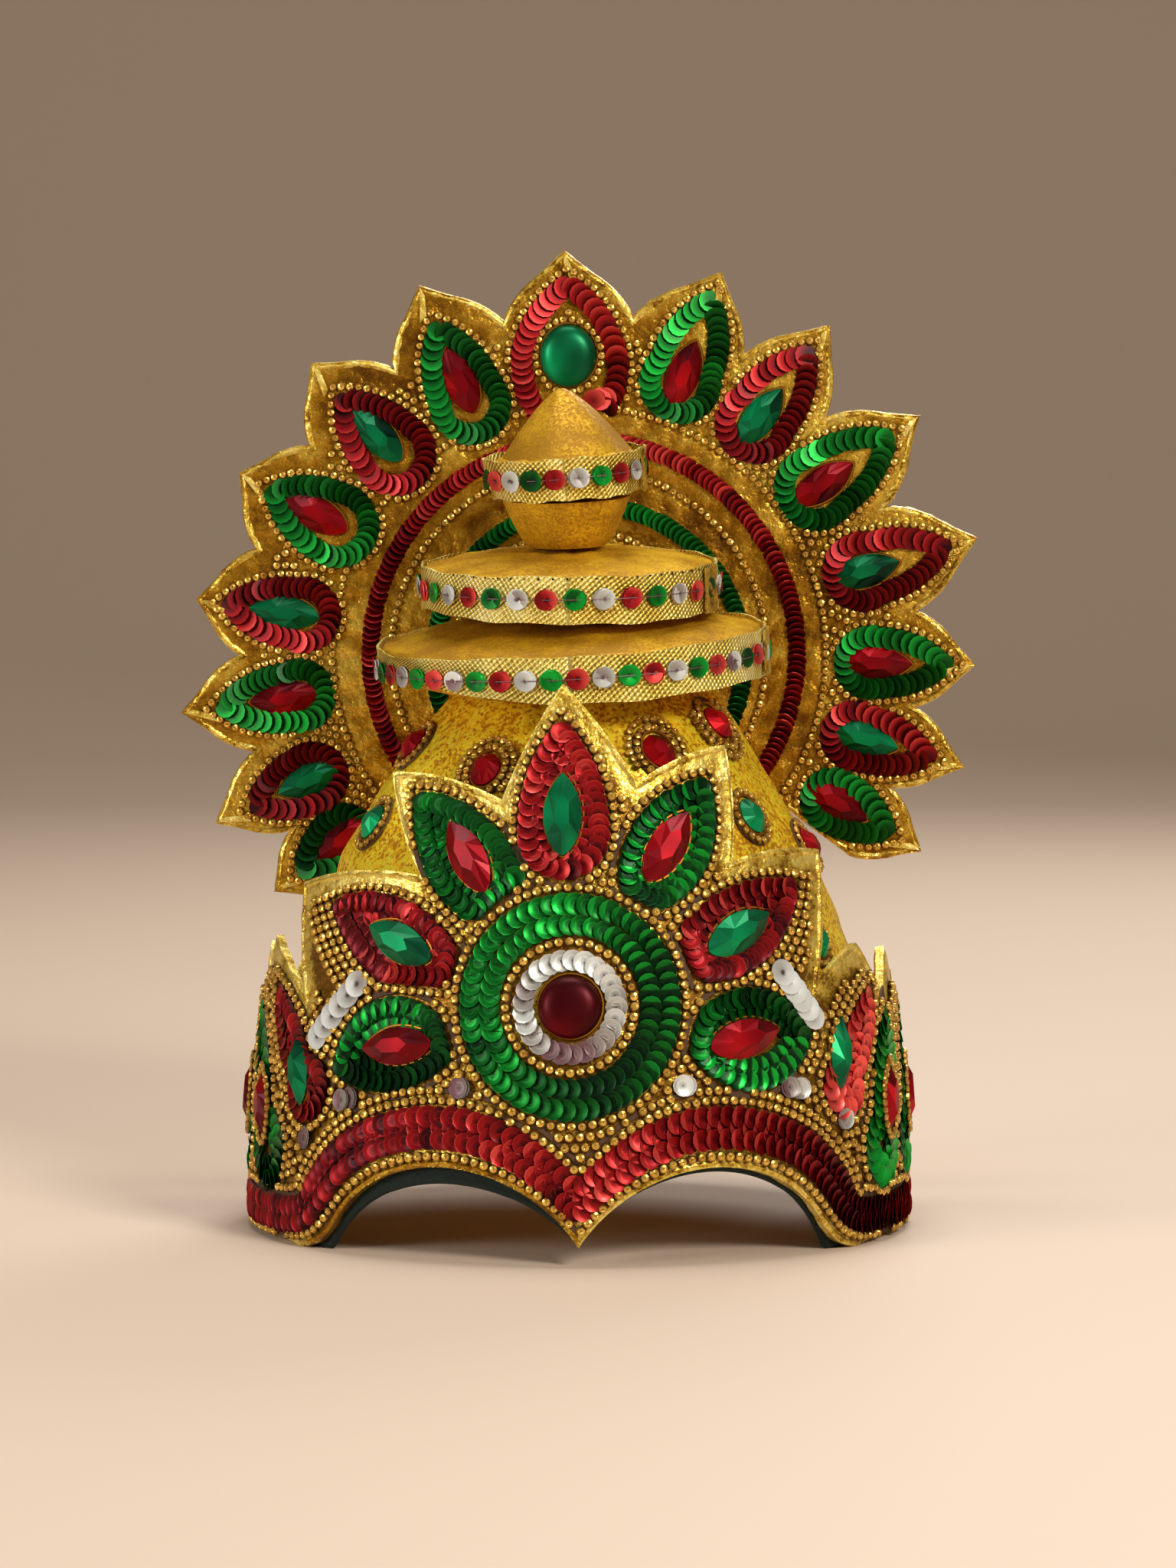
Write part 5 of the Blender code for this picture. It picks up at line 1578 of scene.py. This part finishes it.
def on_halo(turn, radius):
    """A flat point on the halo, by degrees clockwise from up."""
    return np.array([radius * math.sin(math.radians(turn)), radius * math.cos(math.radians(turn))])


def notch_width(up):
    """Half the width of the cap where it passes through the halo, at a height over the halo's centre."""
    height = HALO_CENTRE_HEIGHT + np.asarray(up)
    reach = cap_radius(height) + HALO_CUT_CLEARANCE
    back = HALO_FRONT_Y - AXIS_Y
    return np.sqrt(np.clip(reach ** 2 - back ** 2, 0, None)) * (height < CAP_HEIGHT)


def petal_side(valley, tip, closing):
    """A petal's edge from a valley to its tip, full below and straight above. Closing, it runs back down."""
    way = tip - valley
    out = np.array([way[1], -way[0]]) * (-1 if closing else 1)
    belly = valley + way * FULLEST + out * FULLNESS
    if closing:
        return [arc(tip, belly, UPPER_BULGE, PETAL_STEP), arc(belly, valley, LOWER_BULGE, PETAL_STEP)]
    return [arc(valley, belly, LOWER_BULGE, PETAL_STEP), arc(belly, tip, UPPER_BULGE, PETAL_STEP)]


def halo_outline():
    """The halo about its centre, anticlockwise from its lowest petal on the right, with the cap's notch."""
    petals = HALO_PETALS[::-1]
    between = [(a[0] + b[0]) / 2 for a, b in zip(petals, petals[1:])]
    valleys = [2 * petals[0][0] - between[0], *between, 2 * petals[-1][0] - between[-1]]
    edge = []
    for (turn, reach), first, last in zip(petals, valleys, valleys[1:]):
        tip = on_halo(turn, reach * HALO_TIP_RADIUS)
        edge += petal_side(on_halo(first, HALO_VALLEY_RADIUS), tip, False)
        edge += petal_side(on_halo(last, HALO_VALLEY_RADIUS), tip, True)
    edge.append(on_halo(valleys[-1], HALO_VALLEY_RADIUS)[None])
    turn = np.radians(np.linspace(valleys[-1], valleys[0] - 360, 90))
    hem = HALO_HEM_RADIUS * np.stack([np.sin(turn), np.cos(turn)], axis=1)
    beside_cap = np.abs(hem[:, 0]) > notch_width(hem[:, 1]) + 0.0005
    left, right = (hem[(hem[:, 0] * side > 0) & beside_cap] for side in (-1, 1))
    heights = np.linspace(left[-1, 1], CAP_BEND_START - HALO_CENTRE_HEIGHT + 0.02, 60)
    half = notch_width(heights)
    inside = half > 0
    notch = np.stack([half[inside], heights[inside]], axis=1)
    return np.vstack([*edge, left, notch * (-1, 1), notch[::-1], right])


def halo_puff(flat):
    """How far the halo's cloth stands out between its rows of stitching, in metres."""
    radius, turn = np.hypot(*flat.T) / MM, np.degrees(np.arctan2(flat[:, 0], flat[:, 1]))
    puff = np.zeros(len(flat))
    for low, high in zip((30, *HALO_RINGS), HALO_RINGS):
        share = np.clip((radius - low) / (high - low), 0, 1)
        puff += 0.5 * np.sqrt(np.abs(np.sin(math.pi * share))) * (share > 0) * (share < 1)
    nearest = np.abs(turn[:, None] - np.array([p[0] for p in HALO_PETALS])[None]).min(axis=1)
    petal = np.clip((radius - 77) / 20, 0, 1)
    puff += petal * 0.4 * np.cos(np.radians(nearest * 9)) ** 2
    creases = 0.12 * np.sin(turn * 2.3 + radius * 0.22) * np.sin(turn * 0.9 - radius * 0.35)
    creases += 0.28 * petal * np.sin(radius * 1.05 + 3 * np.sin(turn * 0.31)) * np.sin(turn * 1.7)
    gathers = np.exp(-((radius - 71.5) / 3) ** 2) * 0.35 * np.sin(turn * 1.1 + 2 * np.sin(turn * 0.23))
    return (puff + creases + gathers - 0.45) * MM


def make_halo_cloth():
    outline, ground = halo_outline(), halo_ground()
    cloth = cloth_panel("halo_cloth", outline, HALO_WALL, HALO_CELL, halo_puff, ground)
    finish_piece(add_piece("halo_cloth", cloth), "gold_satin", "halo")
    inner, section = moved_out(outline, -1.0 * MM), round_section(HEM_ROLL, 8, 1.25)
    cord = carried(ground.at(inner, -HALO_WALL / 2), ground.outward(inner), section, True)
    finish_piece(add_piece("halo_hem", joined("halo_hem", [cord])), "gold_tissue")


# The top petal's field, in millimetres across and over the halo's centre, from its right foot over its tip,
# with the bulge of the side to the next corner
TOP_PETAL = ((11.3, 74, 0.06), (14.9, 88.5, 0.12), (-3.6, 116, 0.10), (-20.5, 92.5, 0.08), (-15.5, 72, 0))
# The other petals' fields in the order of HALO_PETALS: radii of foot and tip, and width, in millimetres
HALO_FIELDS = (
    (81, 108.5, 20), (79, 110.8, 21), (75.5, 111.4, 20.5), (73.8, 109.3, 21.5), (71, 107, 25),
    (70.5, 107, 24.5), (71, 109.5, 23), None, (76, 116.9, 22.5), (76.4, 116.4, 22.5), (75.5, 116.2, 24),
    (78, 117.5, 22), (78, 113.3, 21), (77.5, 112.8, 20), (79.9, 110.3, 19.5),
)
ROPE_INSET, HALO_BEAD_OUTSET = 3.0 * MM, 1.2 * MM
FOOT_OUTSETS = (3.8, 6.4, 9.0)  # of the rows of beads that fill the petals' feet, in millimetres


def halo_fields():
    """Each petal's number, ground, outline and whether it closes."""
    fields = []
    for number, ((turn, _), sizes) in enumerate(zip(HALO_PETALS, HALO_FIELDS)):
        if sizes is None:
            nodes = [(x * MM, y * MM, bulge) for x, y, bulge in TOP_PETAL]
            line = np.vstack([arc(a[:2], b[:2], a[2]) for a, b in zip(nodes, nodes[1:])])
            fields.append((number, halo_ground(), line, False))
        else:
            foot, tip, width = sizes
            ends = (0, (tip + 2.2) * MM), (0, foot * MM)
            line = leaf(*ends, width * MM, shoulder=0.40, side_bulge=0.11)
            fields.append((number, halo_ground(turn), line, True))
    return fields


# A fold of tissue, in millimetres: aside and down from a petal's tip, and how high its back and its front lie
TIP_FOLD = ((0, 0, 0.0, 0.4), (4.2, -9.8, 0.2, 1.0), (1.6, -8.8, 0.2, 0.8), (-0.4, -3.0, 0.0, 0.4))


def make_tip_folds():
    """The tissue folded over each petal's tip, to the left on the petals left of the top one."""
    folds = []
    aside, down, back, front = np.array(TIP_FOLD).T * MM
    for turn, reach in HALO_PETALS:
        tip, side = reach * HALO_TIP_RADIUS - 0.6 * MM, 1 if turn > -10 else -1
        corners, ground = np.stack([side * aside, tip + down], axis=1), halo_ground(turn)
        points = np.concatenate([ground.at(corners, back), ground.at(corners, front)])
        faces = [[0, 1, 2, 3], [4, 5, 6, 7], *([i, (i + 1) % 4, 4 + (i + 1) % 4, 4 + i] for i in range(4))]
        folds.append((points, faces))
    mesh = joined("halo_tip_folds", folds, CRISP_ANGLE)
    # Full painted edge highlight on the folds.
    set_values(mesh, "hem", np.ones(len(mesh.vertices)))
    finish_piece(add_piece("halo_tip_folds", mesh), "gold_tissue")


# The ropes of sequins round a leaf, from its tip down its left side, and round the top petal's field from its
# right foot: painted brightness (light and shade), lean and spacing in millimetres
LEAF_SIDES = (
    (0.40, 0.42, 0.45, 0.43, 0.30, 0.16, 0.12, 0.15, 0.27), (8, 8, 6, 4, 2, 0, 0, 2, 6),
    (3.1, 3.0, 2.8, 2.6, 2.4, 2.3, 2.3, 2.5, 2.9),
)
TOP_SIDES = (
    (0.04, 0.10, 0.34, 0.40, 0.42, 0.36, 0.30, 0.28, 0.26, 0.20), (0, 2, 6, 8, 8, 6, 4, 4, 2, 2),
    (2.4, 2.8, 3.3, 3.3, 3.1, 2.8, 2.6, 2.5, 2.4, 2.4),
)
# The two rings of rope: radius and centre in millimetres, and from the right round anticlockwise their
# painted brightness and lean
ROPE_RINGS = {"red_ring": (65.2, (1.4, 0.0)), "green_ring": (47.3, (3.0, -2.0))}
ROPE_RING_TONES = (0.12, 0.18, 0.42, 0.34, 0.16, 0.12, 0.14, 0.30, 0.40, 0.26, 0.16)
ROPE_RING_LEANS = (-14, -8, 0, -4, -14, -14, -14, -6, 0, -8, -14)
# What each sewing of ropes becomes: the piece's name, the shape sewn on, and the seed of its sway
ROPE_PIECES = (
    ("red", "halo_red_sequins", "rope", 44), ("green", "halo_green_sequins", "rope", 45),
    ("red_ring", "halo_red_ring", "ring_rope", 47), ("green_ring", "halo_green_ring", "ring_rope", 48),
)


def flat_on_halo(places):
    return places[:, [0, 2]] - (0, HALO_CENTRE_HEIGHT)


def on_halo_cloth(places):
    flat, outline = flat_on_halo(places), halo_outline()
    return within(flat, outline) & (gap_to(flat, outline) > 1.8 * MM)


def sew_halo_ropes(sewings, fields):
    """The two rings, a rope round the inside of each field, and a few red discs above the outer ring."""
    whole = halo_ground()
    for name, (radius, centre) in ROPE_RINGS.items():
        ring = circle(np.array(centre) * MM, radius * MM)
        sewings[name].row(whole, ring, ROPE_PITCH, 0.9 * MM, ROPE_RING_TONES, bounds=on_halo_cloth,
                          lean=ROPE_RING_LEANS)
    for number, ground, line, closed in fields:
        colour = "red" if (number - HALO_MIDDLE) % 2 == 0 else "green"
        # The two lowest petals on the left get painted shade, and each red one but for the top one is a
        # darker red
        shade = (0.15 if number < 2 else 0.0) + (0.22 if colour == "red" and closed else 0.0)
        tones, leans, pitches = (np.array(values) for values in (LEAF_SIDES if closed else TOP_SIDES))
        path = moved_out(line, -ROPE_INSET, closed)
        sewings[colour].row(ground, path, pitches * MM, 1.1 * MM, tones - shade, closed, lean=leans)
    pair = np.array([(4.6, 77.4), (8.4, 78.2)]) * MM
    sewings["red"].row(whole, pair, ROPE_PITCH, 1.6 * MM, 0.6, closed=False, lean=12)


def sew_halo_beads(beads, fields, sequins):
    """Beads clear of the ropes: in rings, round each field, round the top stone, in a point over it, and in
    the petals' feet. Only those of the stone and the point lie inside a field."""
    whole = halo_ground()
    covered = [flat_on_halo(ground.at(line)) for _, ground, line, _ in fields]

    def between_fields(places):
        flat = flat_on_halo(places)
        return on_halo_cloth(places) & ~np.any([within(flat, field) for field in covered], axis=0)

    def at_feet(places):
        radius = np.linalg.norm(flat_on_halo(places), axis=1)
        return between_fields(places) & (radius < 97 * MM) & (radius > 77 * MM)

    def bead_row(ground, path, clear, closed=True, bounds=between_fields):
        clear_of = ((sequins, clear * MM), (beads.places(), 2.3 * MM))
        beads.row(ground, path, HALO_BEAD_PITCH, 0.6 * MM, 0.6, closed, clear_of, bounds)
    for radius in HALO_RINGS:
        bead_row(whole, circle((0, 0), radius * MM), 2.6)
    for _, ground, line, closed in fields:
        bead_row(ground, moved_out(line, HALO_BEAD_OUTSET, closed), 2.9, closed)
    stone_place = on_halo(HALO_PETALS[HALO_MIDDLE][0], HALO_STONE_RADIUS)
    stone = turned_outline(cut_outline(HALO_TOP_CUT, 60, 1.6 * MM), stone_place, -2)
    bead_row(whole, stone[::-1], 2.4, True, on_halo_cloth)
    point = np.array([(-4.9, 102.4), (-3.3, 104.4), (-1.6, 102.6)]) * MM
    bead_row(whole, point, 2.2, False, on_halo_cloth)
    for outset in FOOT_OUTSETS:
        for _, ground, line, closed in fields:
            bead_row(ground, moved_out(line, outset * MM, closed), 3.35, closed, at_feet)


def make_halo_trim():
    sewings = {"red": Sewing(41, 0.10), "green": Sewing(42, 0.10), "red_ring": Sewing(47, 0.12),
               "green_ring": Sewing(48, 0.10)}
    beads, fields = Sewing(43, 0.16), halo_fields()
    sew_halo_ropes(sewings, fields)
    sew_halo_beads(beads, fields, np.concatenate([sewing.places() for sewing in sewings.values()]))
    for key, name, shape, seed in ROPE_PIECES:
        slot = key.removesuffix("_ring") + "_sequin"
        sewings[key].make(name, shape, slot, sway=8, spread=0.05, seed=seed, lean=-32)
    beads.make("halo_beads", "small_bead", "gold_bead", sway=16, spread=0.08, seed=46)


# Whole crown

set_camera()
set_lights()
FINISHES = make_finishes()
SEWING_TREE = make_sewing_tree()
SHAPES = {
    "bead": turned_shape("bead", BEAD_PROFILE, 9, 1.43 * MM),
    "small_bead": turned_shape("small_bead", BEAD_PROFILE, 8, 1.3 * MM),
    "cup": turned_shape("cup", CUP_PROFILE, 12, 3.2 * MM, CRISP_ANGLE),
    "wide_disc": turned_shape("wide_disc", FLAT_PROFILE, 16, 4.1 * MM, CRISP_ANGLE),
    "disc": turned_shape("disc", FLAT_PROFILE, 18, 3.1 * MM, CRISP_ANGLE),
    "rope": turned_shape("rope", DISC_PROFILE, 12, 3.5 * MM, CRISP_ANGLE),
    "ring_rope": turned_shape("ring_rope", DISC_PROFILE, 12, 2.9 * MM, CRISP_ANGLE),
    "stitch": turned_shape("stitch", DISC_PROFILE, 6, 0.35 * MM),
}
DISCS = {
    "large": Disc("large_band", LARGE_ROLL, LARGE_RADIUS, LARGE_EDGE, LARGE_DOME),
    "medium": Disc("medium_band", MEDIUM_ROLL, MEDIUM_RADIUS, MEDIUM_EDGE, MEDIUM_DOME),
    "finial": Disc("finial_band", FINIAL_ROLL, FINIAL_RADIUS, FINIAL_EDGE),
}
make_shield_cloth()
make_lining()
make_shield_trim()
make_cap_cloth()
make_cap_trim()
make_pads()
make_ribbons()
make_finial()
make_band_trim()
make_halo_cloth()
make_tip_folds()
make_halo_trim()
make_stones()
for shape in SHAPES.values():
    bpy.data.objects.remove(shape)

make_floor()
